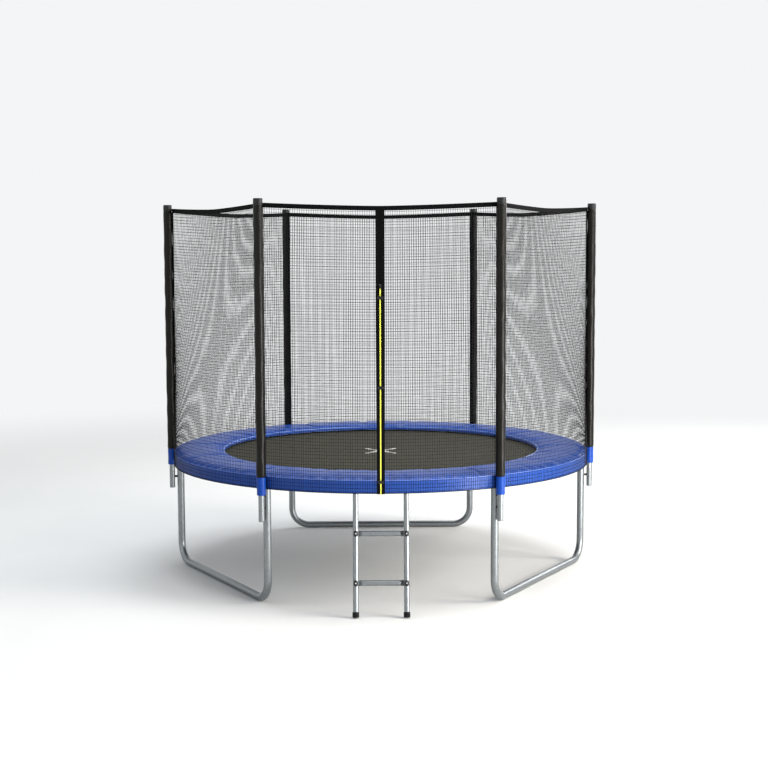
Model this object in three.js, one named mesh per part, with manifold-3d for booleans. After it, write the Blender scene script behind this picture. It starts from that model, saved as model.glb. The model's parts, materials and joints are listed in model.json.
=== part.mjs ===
// Round garden trampoline with a net enclosure on six poles, three U-shaped legs,
// a padded spring cover, a zip door and a two-rung ladder.
// Millimetres, +Z up. The floor is z = 0 and the ladder stands on the -Y side.
import * as THREE from 'three';
import { mergeVertices } from 'three/addons/utils/BufferGeometryUtils.js';
import Module from 'manifold-3d';

const wasm = await Module();
wasm.setup();

// --- counts ---
const cornerCount = 6;
const stepsPerCorner = 6;
const tubeSides = 12;
const smallSides = 8;
const bendSteps = 3;
const hookSteps = 10;
const springCount = 48;
const springSides = 4;

// --- steel ring and legs ---
const railRadius = 1198;
const railHeight = 652;
const legTubeRadius = 21;
const tubeWall = 1.5;
const spigotLength = 50;
const spigotOverlap = 6;
const stubHeight = 190;
const legBendRadius = 112;

// --- poles ---
const poleTubeRadius = 16;
const poleBottom = 456;
const poleTop = 2100;
const bootBottom = 596;
const bootTop = 691;
const bootWall = 7.6;
const foamWall = 9;
const capHeight = 35;
const capChamfer = 4;
const capPlugDepth = 30;
const spacerRadius = 6.5;
const spacerHeights = [523, 588];

// --- safety pad, a cushion ring with a hanging skirt ---
const padInnerRadius = 930;
const padEdgeHeight = 22;
const padCrown = 6;
const padSideBow = 3;
const padBowHeight = 9;
const padInnerFall = 6;
const padOuterFall = 9;
const padEdgeRoll = 14;
const padRim = 46;
const padShoulder = 4.5;
const skirtBottom = 625;
const skirtThickness = 2;

// --- jumping mat and springs ---
const matRadius = 1030;
const matThickness = 3;
const matBelowPad = 8;
const ringBandWidth = 14;
const springRadius = 8;
const springTilt = 12;

// --- enclosure net ---
const netThickness = 2;
const netBottom = 625;
const netKnee = 712.5;
const netRise = 10;
const netSag = 17;
const strandWidth = 4;
const hemWidth = 20;
const bottomHemWidth = 15;
const topBandWidth = 20;
const rowsBelowDoorTop = 3;

// --- zip door ---
const doorTop = 1692;
const doorBandHalf = 19;
const slitHalf = 6;
const chainProud = 1.4;
const chainTail = 5;
const sliderLength = 20;
const sliderWidth = 12;
const sliderPlate = 3;
const bridgeWidth = 4;
const bridgeThickness = 1.5;
const bridgeFoot = 2.4;
const bridgeHole = 7.2;
const pullWire = 1.4;
const pullWidth = 10;
const pullLength = 38;
const pullTaper = 2.5;
const buckleHeights = [687, 1165, 1623];
const buckleHalf = 16;
const buckleStrap = 4.5;
const buckleRise = 10.5;
const buckleDeck = 4.5;
const buckleShoulder = 8;
const buckleDepth = 10;

// --- ladder ---
const ladderHalf = 130.5;
const ladderTubeRadius = 14;
const ladderReach = 130;
const hookPlay = 1.5;
const hookThickness = 3;
const hookWidth = 25;
const hookStart = -116;
const hookEnd = 126;
const rungDrops = [236, 488];
const rungTubeRadius = 14;
const rungTabHalf = 15;
const rungFlare = 24;
const rungTabReach = 8;
const saddleRadius = 10;
const saddleStretch = 1.35;
const saddleThickness = 3;
const boltHeadRadius = 5.5;
const boltHeadHeight = 3;
const footWall = 3;
const footSole = 6;
const footHeight = 28;

// --- clearances ---
const plugClearance = 0.4;
const endGap = 0.5;
const smallGap = 0.3;
const clothGap = 1;

// --- derived sizes ---
const turn = 2 * Math.PI;
const cornerAngle = turn / cornerCount;
const stepAngle = cornerAngle / stepsPerCorner;
const flat = Math.cos(Math.PI / tubeSides);
const hexagon = Math.cos(cornerAngle / 2);
const legBore = legTubeRadius - tubeWall;
const spigotRadius = legBore - plugClearance;
const spigotBore = spigotRadius - tubeWall;
const railOuter = railRadius + legTubeRadius * flat;
const skirtInner = railOuter + endGap;
const skirtOuter = skirtInner + skirtThickness;
const netInner = skirtOuter + clothGap;
const netOuter = netInner + netThickness;
const poleBore = poleTubeRadius - tubeWall;
const sleeveBore = poleTubeRadius + plugClearance;
const sleeveRadius = sleeveBore + foamWall;
const bootRadius = sleeveBore + bootWall;
const poleRadius = netOuter + endGap + sleeveRadius * flat;
const hookInner = legTubeRadius + hookPlay;
const hookOuter = hookInner + hookThickness;
const padBottom = railHeight + hookOuter + endGap;
const padTop = padBottom + padEdgeHeight;
const matTop = padBottom - matBelowPad;
const netTop = poleTop + netRise;
const netTopMiddle = netTop - netSag;
const doorShare = (doorTop - netKnee) / (netTopMiddle - netKnee);
const pivotRadius = railRadius - Math.tan(stepAngle / 2) * ladderHalf;
const ladderLean = Math.atan(ladderReach / railHeight);
const footRadius = ladderTubeRadius + smallGap + footWall;
const footContact = footRadius - footWall / 2;
const leanSine = Math.sin(ladderLean);
const leanCosine = Math.cos(ladderLean);
const ladderLength = (railHeight - footContact * flat * leanSine) / leanCosine;
const ladderFront = pivotRadius + ladderLength * leanSine + footContact * leanCosine;
const centreShift = (ladderFront - netOuter) / 2;

const up = new THREE.Vector3(0, 0, 1);
const corners = ['right', 'back_right', 'back_left', 'left', 'front_left', 'front_right'];
const panels = ['back_right', 'back', 'back_left', 'front_left', 'front', 'front_right'];

function vec(x, y, z) {
  return new THREE.Vector3(x, y, z);
}

function polar(radius, angle, z) {
  return vec(radius * Math.cos(angle), radius * Math.sin(angle), z);
}

// Triangles with their winding turned so that the enclosed volume is positive.
function facingOut(positions, indices) {
  let volume = 0;
  const a = vec();
  const b = vec();
  const c = vec();
  for (let i = 0; i < indices.length; i += 3) {
    a.fromArray(positions, indices[i] * 3);
    b.fromArray(positions, indices[i + 1] * 3);
    c.fromArray(positions, indices[i + 2] * 3);
    volume += a.dot(b.cross(c));
  }
  if (volume < 0) {
    for (let i = 0; i < indices.length; i += 3) {
      [indices[i + 1], indices[i + 2]] = [indices[i + 2], indices[i + 1]];
    }
  }
  const geometry = new THREE.BufferGeometry();
  geometry.setAttribute('position', new THREE.Float32BufferAttribute(positions, 3));
  geometry.setIndex(indices);
  geometry.computeVertexNormals();
  return geometry;
}

// A skin over rings of points: looped rings close on themselves, others get flat ends.
function skin(rings, looped) {
  const count = rings[0].length;
  const positions = rings.flat().flatMap((point) => point.toArray());
  const indices = [];
  const spans = looped ? rings.length : rings.length - 1;
  for (let i = 0; i < spans; i++) {
    const here = i * count;
    const next = ((i + 1) % rings.length) * count;
    for (let j = 0; j < count; j++) {
      const k = (j + 1) % count;
      indices.push(here + j, next + j, next + k, here + j, next + k, here + k);
    }
  }
  if (!looped) {
    const end = (rings.length - 1) * count;
    for (let j = 1; j < count - 1; j++) {
      indices.push(0, j, j + 1, end, end + j + 1, end + j);
    }
  }
  return facingOut(positions, indices);
}

// A ring of points: an ellipse with a flat, not a corner, on each of its axes.
function ring(centre, a, b, radiusA, radiusB = radiusA, sides = tubeSides) {
  const points = [];
  for (let i = 0; i < sides; i++) {
    const angle = (i + 0.5) * turn / sides;
    const point = centre.clone();
    point.addScaledVector(a, radiusA * Math.cos(angle));
    point.addScaledVector(b, radiusB * Math.sin(angle));
    points.push(point);
  }
  return points;
}

// Rings up a vertical axis, from pairs of height and radius.
function stack(x, pairs) {
  return pairs.map(([z, radius]) => ring(vec(x, 0, z), vec(1, 0, 0), vec(0, 1, 0), radius));
}

function straightRod(x, bottom, top, radius) {
  return skin(stack(x, [[bottom, radius], [top, radius]]), false);
}

// A wall between an outer and an inner run of rings, open at both ends.
function shell(outer, inner) {
  return skin([...outer, ...[...inner].reverse()], true);
}

function toSolid(geometry) {
  const plain = geometry.clone();
  plain.deleteAttribute('normal');
  plain.deleteAttribute('uv');
  const merged = mergeVertices(plain, 1e-4);
  const vertProperties = Float32Array.from(merged.attributes.position.array);
  const triVerts = Uint32Array.from(merged.index.array);
  return new wasm.Manifold(new wasm.Mesh({ numProp: 3, vertProperties, triVerts }));
}

function fromSolid(solid) {
  const mesh = solid.getMesh();
  const geometry = new THREE.BufferGeometry();
  geometry.setAttribute('position', new THREE.BufferAttribute(new Float32Array(mesh.vertProperties), 3));
  geometry.setIndex(new THREE.BufferAttribute(new Uint32Array(mesh.triVerts), 1));
  geometry.computeVertexNormals();
  return geometry;
}

// A flat outline pushed out along the third axis, half to each side of its plane.
function slab(points, depth) {
  const shape = new THREE.Shape(points.map(([x, y]) => new THREE.Vector2(x, y)));
  const geometry = new THREE.ExtrudeGeometry(shape, { depth, bevelEnabled: false });
  geometry.translate(0, 0, -depth / 2);
  return geometry;
}

const looks = {
  steel: [0xb9bdbf, 0.38, 0.9],
  pad: [0x2b4fc4, 0.32, 0],
  boot: [0x1d5bd0, 0.35, 0],
  foam: [0x1b1a1b, 0.62, 0],
  plastic: [0x111112, 0.45, 0],
  net: [0x141414, 0.8, 0],
  mat: [0x23252a, 0.75, 0],
  zip: [0xe9e64a, 0.5, 0],
  rubber: [0x161616, 0.9, 0],
  spring: [0xa9adb0, 0.4, 0.85],
};

function piece(name, geometry, look) {
  const [color, roughness, metalness] = looks[look];
  const mesh = new THREE.Mesh(geometry, new THREE.MeshStandardMaterial({ color, roughness, metalness }));
  mesh.name = name;
  return mesh;
}

const trampoline = new THREE.Group();
trampoline.position.y = centreShift;

// --- one sixth of the ring: an arc of tube with a joint spigot and a spigot for its leg ---
function railPoint(step) {
  return polar(railRadius, step * stepAngle, railHeight);
}

function railRun(firstStep, radius, startShift, stepBack, tipRadius, tipLength) {
  const half = stepsPerCorner / 2;
  const rings = [];
  for (let step = firstStep; step <= half; step++) {
    const centre = railPoint(step);
    const along = railPoint(step + 1).sub(centre).normalize();
    const behind = centre.clone().sub(railPoint(step - 1)).normalize();
    if (step === firstStep) centre.addScaledVector(along, startShift);
    if (step === half) centre.addScaledVector(behind, -stepBack);
    rings.push(ring(centre, polar(1, step * stepAngle, 0), up, radius));
  }
  const joint = railPoint(half);
  const ahead = railPoint(half + 1).sub(joint).normalize();
  const behind = joint.clone().sub(railPoint(half - 1)).normalize();
  const neck = joint.clone().addScaledVector(behind, -stepBack);
  rings.push(ring(neck, polar(1, half * stepAngle, 0), up, tipRadius));
  if (stepBack > 0) rings.push(ring(joint.clone(), polar(1, half * stepAngle, 0), up, tipRadius));
  const tip = joint.clone().addScaledVector(ahead, tipLength);
  rings.push(ring(tip, polar(1, (half + 0.5) * stepAngle, 0), up, tipRadius));
  return skin(rings, false);
}

const railLow = railHeight - legTubeRadius * flat;
const legSpigotEnd = railLow - spigotLength;

function makeRail() {
  const half = stepsPerCorner / 2;
  const body = toSolid(railRun(-half, legTubeRadius, endGap, 0, spigotRadius, spigotLength));
  const boreLength = spigotLength + spigotOverlap;
  const bore = toSolid(railRun(-half, legBore, -spigotOverlap, spigotOverlap, spigotBore, boreLength));
  const peg = toSolid(straightRod(railRadius, legSpigotEnd, railHeight, spigotRadius));
  const pegBore = toSolid(straightRod(railRadius, legSpigotEnd - 1, railHeight, spigotBore));
  return fromSolid(body.add(peg).subtract(bore).subtract(pegBore));
}

// --- leg uprights, poles and what is on them ---
const uprightBottom = stubHeight + endGap;
const uprightTop = railLow - endGap;

function straightTube(x, bottom, top, outer, inner) {
  return shell(stack(x, [[bottom, outer], [top, outer]]), stack(x, [[bottom, inner], [top, inner]]));
}

// The pole has its two leg spacers, which reach in to the leg's outer flat.
function makePole() {
  let solid = toSolid(straightRod(poleRadius, poleBottom, poleTop, poleTubeRadius));
  const start = railOuter + smallGap;
  for (const z of spacerHeights) {
    const rings = [start, poleRadius].map((x) => {
      return ring(vec(x, 0, z), vec(0, 1, 0), up, spacerRadius, spacerRadius, smallSides);
    });
    solid = solid.add(toSolid(skin(rings, false)));
  }
  const bore = straightRod(poleRadius, poleBottom - 1, poleTop + 1, poleBore);
  return fromSolid(solid.subtract(toSolid(bore)));
}

function makeCap() {
  const plug = poleBore - plugClearance;
  const seat = poleTop + smallGap;
  const top = poleTop + capHeight;
  return skin(stack(poleRadius, [
    [poleTop - capPlugDepth, plug],
    [seat, plug],
    [seat, sleeveRadius],
    [top - capChamfer, sleeveRadius],
    [top, sleeveRadius - capChamfer],
  ]), false);
}

const cornerShapes = {
  top_rail: [makeRail(), 'steel'],
  leg_upright: [straightTube(railRadius, uprightBottom, uprightTop, legTubeRadius, legBore), 'steel'],
  pole: [makePole(), 'steel'],
  pole_boot: [straightTube(poleRadius, bootBottom, bootTop, bootRadius, sleeveBore), 'boot'],
  pole_sleeve: [straightTube(poleRadius, bootTop + endGap, poleTop, sleeveRadius, sleeveBore), 'foam'],
  pole_cap: [makeCap(), 'plastic'],
};

corners.forEach((corner, index) => {
  const group = new THREE.Group();
  group.rotation.z = index * cornerAngle;
  for (const [name, [geometry, look]] of Object.entries(cornerShapes)) {
    group.add(piece(`${name}_${corner}`, geometry, look));
  }
  trampoline.add(group);
});

// --- U-shaped leg bases: two short stubs joined by a tube that lies on the floor ---
function baseRings(radius, neckRadius, neckHeight, tipHeight) {
  const halfSpan = railRadius * Math.sin(cornerAngle / 2);
  const floorAxis = legTubeRadius * flat;
  const side = vec(0, 1, 0);
  const rightHalf = [
    ring(vec(halfSpan, 0, tipHeight), side, vec(1, 0, 0), neckRadius),
    ring(vec(halfSpan, 0, neckHeight), side, vec(1, 0, 0), neckRadius),
    ring(vec(halfSpan, 0, neckHeight), side, vec(1, 0, 0), radius),
  ];
  for (let i = 0; i <= bendSteps; i++) {
    const angle = (i / bendSteps) * Math.PI / 2;
    const out = vec(Math.cos(angle), 0, -Math.sin(angle));
    const centre = vec(halfSpan - legBendRadius, 0, floorAxis + legBendRadius);
    rightHalf.push(ring(centre.addScaledVector(out, legBendRadius), side, out, radius));
  }
  const mirrored = rightHalf.map((points) => points.map((p) => vec(-p.x, p.y, p.z))).reverse();
  return [...rightHalf, ...mirrored];
}

const baseOuter = baseRings(legTubeRadius, spigotRadius, stubHeight, stubHeight + spigotLength);
const baseInner = baseRings(legBore, spigotBore, stubHeight - spigotOverlap, stubHeight + spigotLength);
const baseShape = shell(baseOuter, baseInner);

[['back', 1], ['left', 3], ['right', 5]].forEach(([name, panelIndex]) => {
  const angle = (panelIndex + 0.5) * cornerAngle;
  const base = piece(`leg_base_${name}`, baseShape, 'steel');
  base.position.copy(polar(railRadius * hexagon, angle, 0));
  base.rotation.z = angle - Math.PI / 2;
  trampoline.add(base);
});

// --- safety pad: a crowned section turned about the centre, with a skirt at its rim ---
const padSection = [
  [padInnerRadius, padBottom],
  [padInnerRadius - padSideBow, padBottom + padBowHeight],
  [padInnerRadius + padSideBow, padTop - padInnerFall],
  [padInnerRadius + padEdgeRoll, padTop],
  [padInnerRadius + padRim, padTop + padShoulder],
  [(padInnerRadius + skirtOuter) / 2, padTop + padCrown],
  [skirtOuter - padRim, padTop + padShoulder],
  [skirtOuter - padEdgeRoll, padTop],
  [skirtOuter, padTop - padOuterFall],
  [skirtOuter, skirtBottom],
  [skirtInner, skirtBottom],
  [skirtInner, padBottom],
];
const ringSteps = cornerCount * stepsPerCorner;

function turned(section) {
  const rings = [];
  for (let i = 0; i < ringSteps; i++) {
    rings.push(section.map(([radius, z]) => polar(radius, i * stepAngle, z)));
  }
  return rings;
}
trampoline.add(piece('safety_pad', skin(turned(padSection), true), 'pad'));

// --- jumping mat: a plain disc of woven cloth ---
const matRim = [matTop - matThickness, matTop].map((z) => {
  return Array.from({ length: ringSteps }, (_, i) => polar(matRadius, i * stepAngle, z));
});
trampoline.add(piece('jumping_mat', skin(matRim, false), 'mat'));

// --- springs: slim rods from a band of rings at the mat's edge to the rail's inner flat ---
function makeSprings() {
  const bandInner = matRadius + endGap;
  const bandOuter = bandInner + ringBandWidth;
  const bandSection = [
    [bandInner, matTop - matThickness],
    [bandOuter, matTop - matThickness],
    [bandOuter, matTop],
    [bandInner, matTop],
  ];
  let solid = toSolid(skin(turned(bandSection), true));
  const bandHeight = matTop - matThickness / 2;
  const railFace = (railRadius - legTubeRadius * flat) * Math.cos(stepAngle / 2);
  for (let i = 0; i < springCount; i++) {
    const angle = (i + 0.5) * turn / springCount;
    const offset = (((angle % stepAngle) + stepAngle) % stepAngle) - stepAngle / 2;
    const reach = (railFace - endGap - springRadius * Math.tan(stepAngle / 2)) / Math.cos(offset);
    const across = polar(1, angle + Math.PI / 2, 0);
    const ends = [
      polar(bandInner + ringBandWidth / 2, angle, bandHeight),
      polar(reach, angle, bandHeight - springTilt),
    ];
    const rings = ends.map((end) => ring(end, across, up, springRadius, springRadius, springSides));
    solid = solid.add(toSolid(skin(rings, false)));
  }
  return fromSolid(solid);
}
trampoline.add(piece('springs', makeSprings(), 'spring'));

// --- enclosure net: six panels of open mesh ---
// A point of a panel facing +X: u runs along it from corner to corner, t up it. From 0 to 1 the
// panel hangs round the pad; from 1 to 2 it leans from that curve to the straight top edge.
function netPoint(radius, u, t) {
  const place = Math.min(Math.max(u, 0), 1) * stepsPerCorner;
  const step = Math.min(Math.floor(place), stepsPerCorner - 1);
  const start = polar(radius, step * stepAngle - cornerAngle / 2, 0);
  const low = start.lerp(polar(radius, (step + 1) * stepAngle - cornerAngle / 2, 0), place - step);
  if (t <= 1) return low.setZ(netBottom + (netKnee - netBottom) * t);
  const high = polar(radius, -cornerAngle / 2, 0).lerp(polar(radius, cornerAngle / 2, 0), u);
  const top = netTop - netSag * 4 * u * (1 - u);
  return low.lerp(high, t - 1).setZ(netKnee + (top - netKnee) * (t - 1));
}

// A thick sheet over the filled cells of a grid, walled wherever a filled cell meets a gap.
function plate(us, ts, filled) {
  const positions = [];
  for (const radius of [netInner, netOuter]) {
    for (const t of ts) {
      for (const u of us) positions.push(...netPoint(radius, u, t).toArray());
    }
  }
  const layer = us.length * ts.length;
  const at = (i, j, side) => side * layer + j * us.length + i;
  const inside = (i, j) => i >= 0 && j >= 0 && i < us.length - 1 && j < ts.length - 1 && filled(i, j);
  const indices = [];
  const quad = (a, b, c, d) => indices.push(a, b, c, a, c, d);
  for (let i = 0; i < us.length - 1; i++) {
    for (let j = 0; j < ts.length - 1; j++) {
      if (!inside(i, j)) continue;
      quad(at(i, j, 1), at(i + 1, j, 1), at(i + 1, j + 1, 1), at(i, j + 1, 1));
      quad(at(i, j, 0), at(i, j + 1, 0), at(i + 1, j + 1, 0), at(i + 1, j, 0));
      if (!inside(i, j - 1)) quad(at(i, j, 0), at(i + 1, j, 0), at(i + 1, j, 1), at(i, j, 1));
      if (!inside(i, j + 1)) {
        quad(at(i, j + 1, 1), at(i + 1, j + 1, 1), at(i + 1, j + 1, 0), at(i, j + 1, 0));
      }
      if (!inside(i - 1, j)) quad(at(i, j, 0), at(i, j, 1), at(i, j + 1, 1), at(i, j + 1, 0));
      if (!inside(i + 1, j)) {
        quad(at(i + 1, j, 1), at(i + 1, j, 0), at(i + 1, j + 1, 0), at(i + 1, j + 1, 1));
      }
    }
  }
  const used = new Map();
  const kept = [];
  const packed = indices.map((index) => {
    if (!used.has(index)) {
      used.set(index, used.size);
      kept.push(positions[index * 3], positions[index * 3 + 1], positions[index * 3 + 2]);
    }
    return used.get(index);
  });
  return facingOut(kept, packed);
}

// Columns: cell edges either side of each upright strand, with a hem at both ends. The door
// panel's middle strand is a wide band, slit up its centre for the zip.
const panelWidth = 2 * netOuter * Math.sin(cornerAngle / 2);

function netColumns(door) {
  const us = [smallGap / panelWidth, hemWidth / panelWidth];
  const spans = [true];
  for (let i = 1; i < stepsPerCorner; i++) {
    const middle = i / stepsPerCorner;
    const isDoor = door && i * 2 === stepsPerCorner;
    const half = isDoor ? doorBandHalf : strandWidth / 2;
    const edges = isDoor ? [-half, -slitHalf, slitHalf, half] : [-half, half];
    spans.push(false);
    edges.forEach((edge, k) => {
      us.push(middle + edge / panelWidth);
      if (k > 0) spans.push(isDoor && k === 2 ? 'slit' : true);
    });
  }
  us.push(1 - hemWidth / panelWidth, 1 - smallGap / panelWidth);
  spans.push(false, true);
  return { us, spans };
}

// Rows: bottom hem, a strand at the knee, evenly spaced strands up to the door's top, top band.
function netRows() {
  const lowShare = 1 / (netKnee - netBottom);
  const highShare = 1 / (netTopMiddle - netKnee);
  const ts = [0, bottomHemWidth * lowShare];
  ts.push(1 - strandWidth / 2 * lowShare, 1 + strandWidth / 2 * highShare);
  const spans = [true, false, true];
  for (let i = 1; i <= rowsBelowDoorTop; i++) {
    const low = 1 + doorShare * i / rowsBelowDoorTop;
    ts.push(low, low + strandWidth * highShare);
    spans.push(false, true);
  }
  ts.push(2 - topBandWidth * highShare, 2);
  spans.push(false, true);
  return { ts, spans };
}

function makePanel(door) {
  const columns = netColumns(door);
  const rows = netRows();
  const slitEnd = 1 + doorShare;
  return plate(columns.us, rows.ts, (i, j) => {
    if (columns.spans[i] === 'slit') return rows.ts[j] >= slitEnd - 1e-9;
    return columns.spans[i] || rows.spans[j];
  });
}

panels.forEach((panel, index) => {
  const mesh = piece(`net_panel_${panel}`, makePanel(panel === 'front'), 'net');
  mesh.rotation.z = (index + 0.5) * cornerAngle;
  trampoline.add(mesh);
});

// --- zip: a chain in the slit, a slider on it, its pull, and three buckles bridging it ---
const door = new THREE.Group();
door.rotation.z = (panels.indexOf('front') + 0.5) * cornerAngle;
trampoline.add(door);

const chainOuter = netOuter + chainProud;
const chainHalf = slitHalf - plugClearance;
const doorSlope = Math.atan(chainOuter * (1 - hexagon) / (netTopMiddle - netKnee));

// The door's centre line: the outward distance at a given height.
function doorLine(radius, z) {
  const share = Math.max(0, (z - netKnee) / (netTopMiddle - netKnee));
  return radius * (1 - share * (1 - hexagon));
}

const chainRings = [netBottom - chainTail, netKnee, doorTop - endGap].map((z) => {
  const inner = doorLine(netInner, z);
  const outer = doorLine(chainOuter, z);
  return [[inner, -1], [outer, -1], [outer, 1], [inner, 1]].map(([x, side]) => vec(x, side * chainHalf, z));
});
door.add(piece('zip_chain', skin(chainRings, false), 'zip'));

// A group on the door's outer face: its X points outward and its Z up along the cloth.
function onDoor(radius, z) {
  const group = new THREE.Group();
  group.position.set(doorLine(radius, z), 0, z);
  group.rotation.y = z > netKnee ? -doorSlope : 0;
  door.add(group);
  return group;
}

const sliderSeat = smallGap;
const sliderFace = sliderSeat + sliderPlate;
const bridgeRoof = sliderFace + bridgeFoot;
const bridgeTop = bridgeRoof + bridgeThickness;
const sliderPlace = doorTop - sliderLength / 2 - clothGap;
const slider = onDoor(chainOuter, sliderPlace);

// Plate over the chain with a small bridge for the pull, seen from the side as a flat staple.
function makeSlider() {
  const body = new THREE.BoxGeometry(sliderPlate, sliderWidth, sliderLength);
  body.translate(sliderSeat + sliderPlate / 2, 0, 0);
  const half = bridgeHole / 2;
  const post = half + bridgeThickness;
  const root = sliderFace - smallGap;
  const staple = slab([
    [root, -post], [bridgeTop, -post], [bridgeTop, post], [root, post],
    [root, half], [bridgeRoof, half], [bridgeRoof, -half], [root, -half],
  ], bridgeWidth);
  staple.rotateX(Math.PI / 2);
  return fromSolid(toSolid(body).add(toSolid(staple)));
}
slider.add(piece('zip_slider', makeSlider(), 'plastic'));

// The pull's wire frame hangs on a cross bar under the bridge.
const pullAxisX = sliderFace + bridgeFoot / 2;
const pullAxisZ = -(bridgeHole / 2 - pullWire / 2 - plugClearance);

function makePull() {
  const half = pullWidth / 2;
  const eye = bridgeWidth / 2 + clothGap;
  const eyeEnd = -(bridgeHole + bridgeThickness);
  const outline = new THREE.Shape([
    new THREE.Vector2(-half, pullWire / 2),
    new THREE.Vector2(-half, -pullLength + half),
    new THREE.Vector2(-pullTaper, -pullLength),
    new THREE.Vector2(pullTaper, -pullLength),
    new THREE.Vector2(half, -pullLength + half),
    new THREE.Vector2(half, pullWire / 2),
  ]);
  outline.holes.push(new THREE.Path([
    new THREE.Vector2(-eye, -pullWire / 2),
    new THREE.Vector2(eye, -pullWire / 2),
    new THREE.Vector2(eye, eyeEnd),
    new THREE.Vector2(-eye, eyeEnd),
  ]));
  const geometry = new THREE.ExtrudeGeometry(outline, { depth: pullWire, bevelEnabled: false });
  geometry.translate(0, 0, -pullWire / 2);
  geometry.rotateX(Math.PI / 2);
  geometry.rotateZ(Math.PI / 2);
  return geometry;
}
const pull = piece('zip_pull', makePull(), 'plastic');
pull.position.set(pullAxisX, 0, pullAxisZ);
slider.add(pull);

// A buckle on its strap: an arch over the zip, high enough for the slider to pass under it.
function makeBuckle(z) {
  const share = Math.max(0, (z - netKnee) / (netTopMiddle - netKnee));
  const fall = Math.tan(stepAngle / 2) * (1 - share);
  const foot = (y) => endGap - fall * y;
  const inner = buckleHalf - buckleStrap;
  const deck = buckleRise + buckleDeck;
  const half = [
    [foot(inner), inner],
    [foot(buckleHalf), buckleHalf],
    [buckleShoulder, buckleHalf],
    [deck, inner],
  ];
  const under = [[buckleRise, inner - buckleStrap / 2], [buckleShoulder, inner]];
  const mirror = (points) => points.map(([x, y]) => [x, -y]).reverse();
  return slab([...half, ...mirror(half), ...mirror(under), ...under], buckleDepth);
}

buckleHeights.forEach((z, index) => {
  onDoor(netOuter, z).add(piece(`door_buckle_${index + 1}`, makeBuckle(z), 'plastic'));
});

// --- ladder: it hangs on the front rail by two hooks and leans outward on rubber feet ---
const ladder = new THREE.Group();
ladder.position.set(0, -pivotRadius, railHeight);
ladder.rotation.x = -ladderLean;
trampoline.add(ladder);

const railEnd = -(ladderLength - footSole - endGap);
const acrossLadder = vec(1, 0, 0);
const throughLadder = vec(0, 1, 0);

function ladderRings(pairs) {
  return pairs.map(([z, radius]) => ring(vec(0, 0, z), acrossLadder, throughLadder, radius));
}

// A saddle washer and a bolt head on the front of the tube.
function boltAt(z) {
  const face = -ladderTubeRadius * flat;
  const saddle = [0, face - saddleThickness].map((y) => {
    return ring(vec(0, y, z), acrossLadder, up, saddleRadius, saddleRadius * saddleStretch, smallSides);
  });
  const headEnd = face - saddleThickness - boltHeadHeight;
  const head = [0, headEnd].map((y) => {
    return ring(vec(0, y, z), acrossLadder, up, boltHeadRadius, boltHeadRadius, smallSides);
  });
  return toSolid(skin(saddle, false)).add(toSolid(skin(head, false)));
}

// Tube with a saddle-cut top, a hook that goes round the inner side of the rail, and bolts.
function makeLadderRail() {
  const hook = [];
  const halfStep = THREE.MathUtils.degToRad((hookEnd - hookStart) / hookSteps / 2);
  const innerCorner = hookInner / Math.cos(halfStep);
  for (const [radius, order] of [[hookOuter, 1], [innerCorner, -1]]) {
    for (let i = 0; i <= hookSteps; i++) {
      const share = order > 0 ? i / hookSteps : 1 - i / hookSteps;
      const angle = THREE.MathUtils.degToRad(hookStart + (hookEnd - hookStart) * share);
      hook.push([radius * Math.cos(angle), radius * Math.sin(angle)]);
    }
  }
  const plateShape = slab(hook, hookWidth);
  plateShape.rotateY(Math.PI / 2);
  plateShape.rotateX(Math.PI / 2);
  const tubeTop = ladderTubeRadius - hookOuter - hookThickness;
  let solid = toSolid(skin(ladderRings([[tubeTop, ladderTubeRadius], [railEnd, ladderTubeRadius]]), false));
  const cutSides = tubeSides * 2;
  const cutRadius = hookInner / Math.cos(Math.PI / cutSides);
  const saddleCut = [-1, 1].map((side) => {
    const centre = vec(side * ladderTubeRadius * 2, 0, 0);
    return ring(centre, throughLadder, up, cutRadius, cutRadius, cutSides);
  });
  solid = solid.add(toSolid(plateShape)).subtract(toSolid(skin(saddleCut, false)));
  for (const drop of rungDrops) solid = solid.add(boltAt(-drop));
  const bore = ladderRings([[0, ladderTubeRadius - tubeWall], [railEnd - 1, ladderTubeRadius - tubeWall]]);
  return fromSolid(solid.subtract(toSolid(skin(bore, false))));
}

function makeFoot() {
  const bottom = -ladderLength;
  const bore = ladderTubeRadius + smallGap;
  return skin(ladderRings([
    [bottom + footSole, bore],
    [bottom + footHeight, bore],
    [bottom + footHeight, footRadius],
    [bottom + footWall, footRadius],
    [bottom, footContact],
  ]), false);
}

// Rung: a tube whose flattened ends lie behind the ladder's tubes.
function makeRung() {
  const wall = tubeWall;
  const tab = wall + smallGap;
  const tabEnd = ladderHalf + rungTabReach;
  const tabStart = ladderHalf - ladderTubeRadius - endGap;
  const tubeStart = tabStart - rungFlare;
  const depth = ladderTubeRadius * flat + smallGap + tab;
  const run = (shrink) => {
    const right = [
      [tabEnd, tab - shrink, rungTabHalf - shrink],
      [tabStart, tab - shrink, rungTabHalf - shrink],
      [tubeStart, rungTubeRadius - shrink, rungTubeRadius - shrink],
    ];
    const left = right.map(([x, a, b]) => [-x, a, b]).reverse();
    return [...right, ...left].map(([x, a, b]) => ring(vec(x, depth, 0), throughLadder, up, a, b));
  };
  return shell(run(0), run(wall));
}

const ladderRailShape = makeLadderRail();
const footShape = makeFoot();
[['left', -1], ['right', 1]].forEach(([side, sign]) => {
  const tube = piece(`ladder_rail_${side}`, ladderRailShape, 'steel');
  const foot = piece(`ladder_foot_${side}`, footShape, 'rubber');
  tube.position.x = sign * ladderHalf;
  foot.position.x = sign * ladderHalf;
  ladder.add(tube, foot);
});

const rungShape = makeRung();
rungDrops.forEach((drop, index) => {
  const rung = piece(`ladder_rung_${index + 1}`, rungShape, 'steel');
  rung.position.z = -drop;
  ladder.add(rung);
});

export default trampoline;
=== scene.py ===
import json

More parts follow.
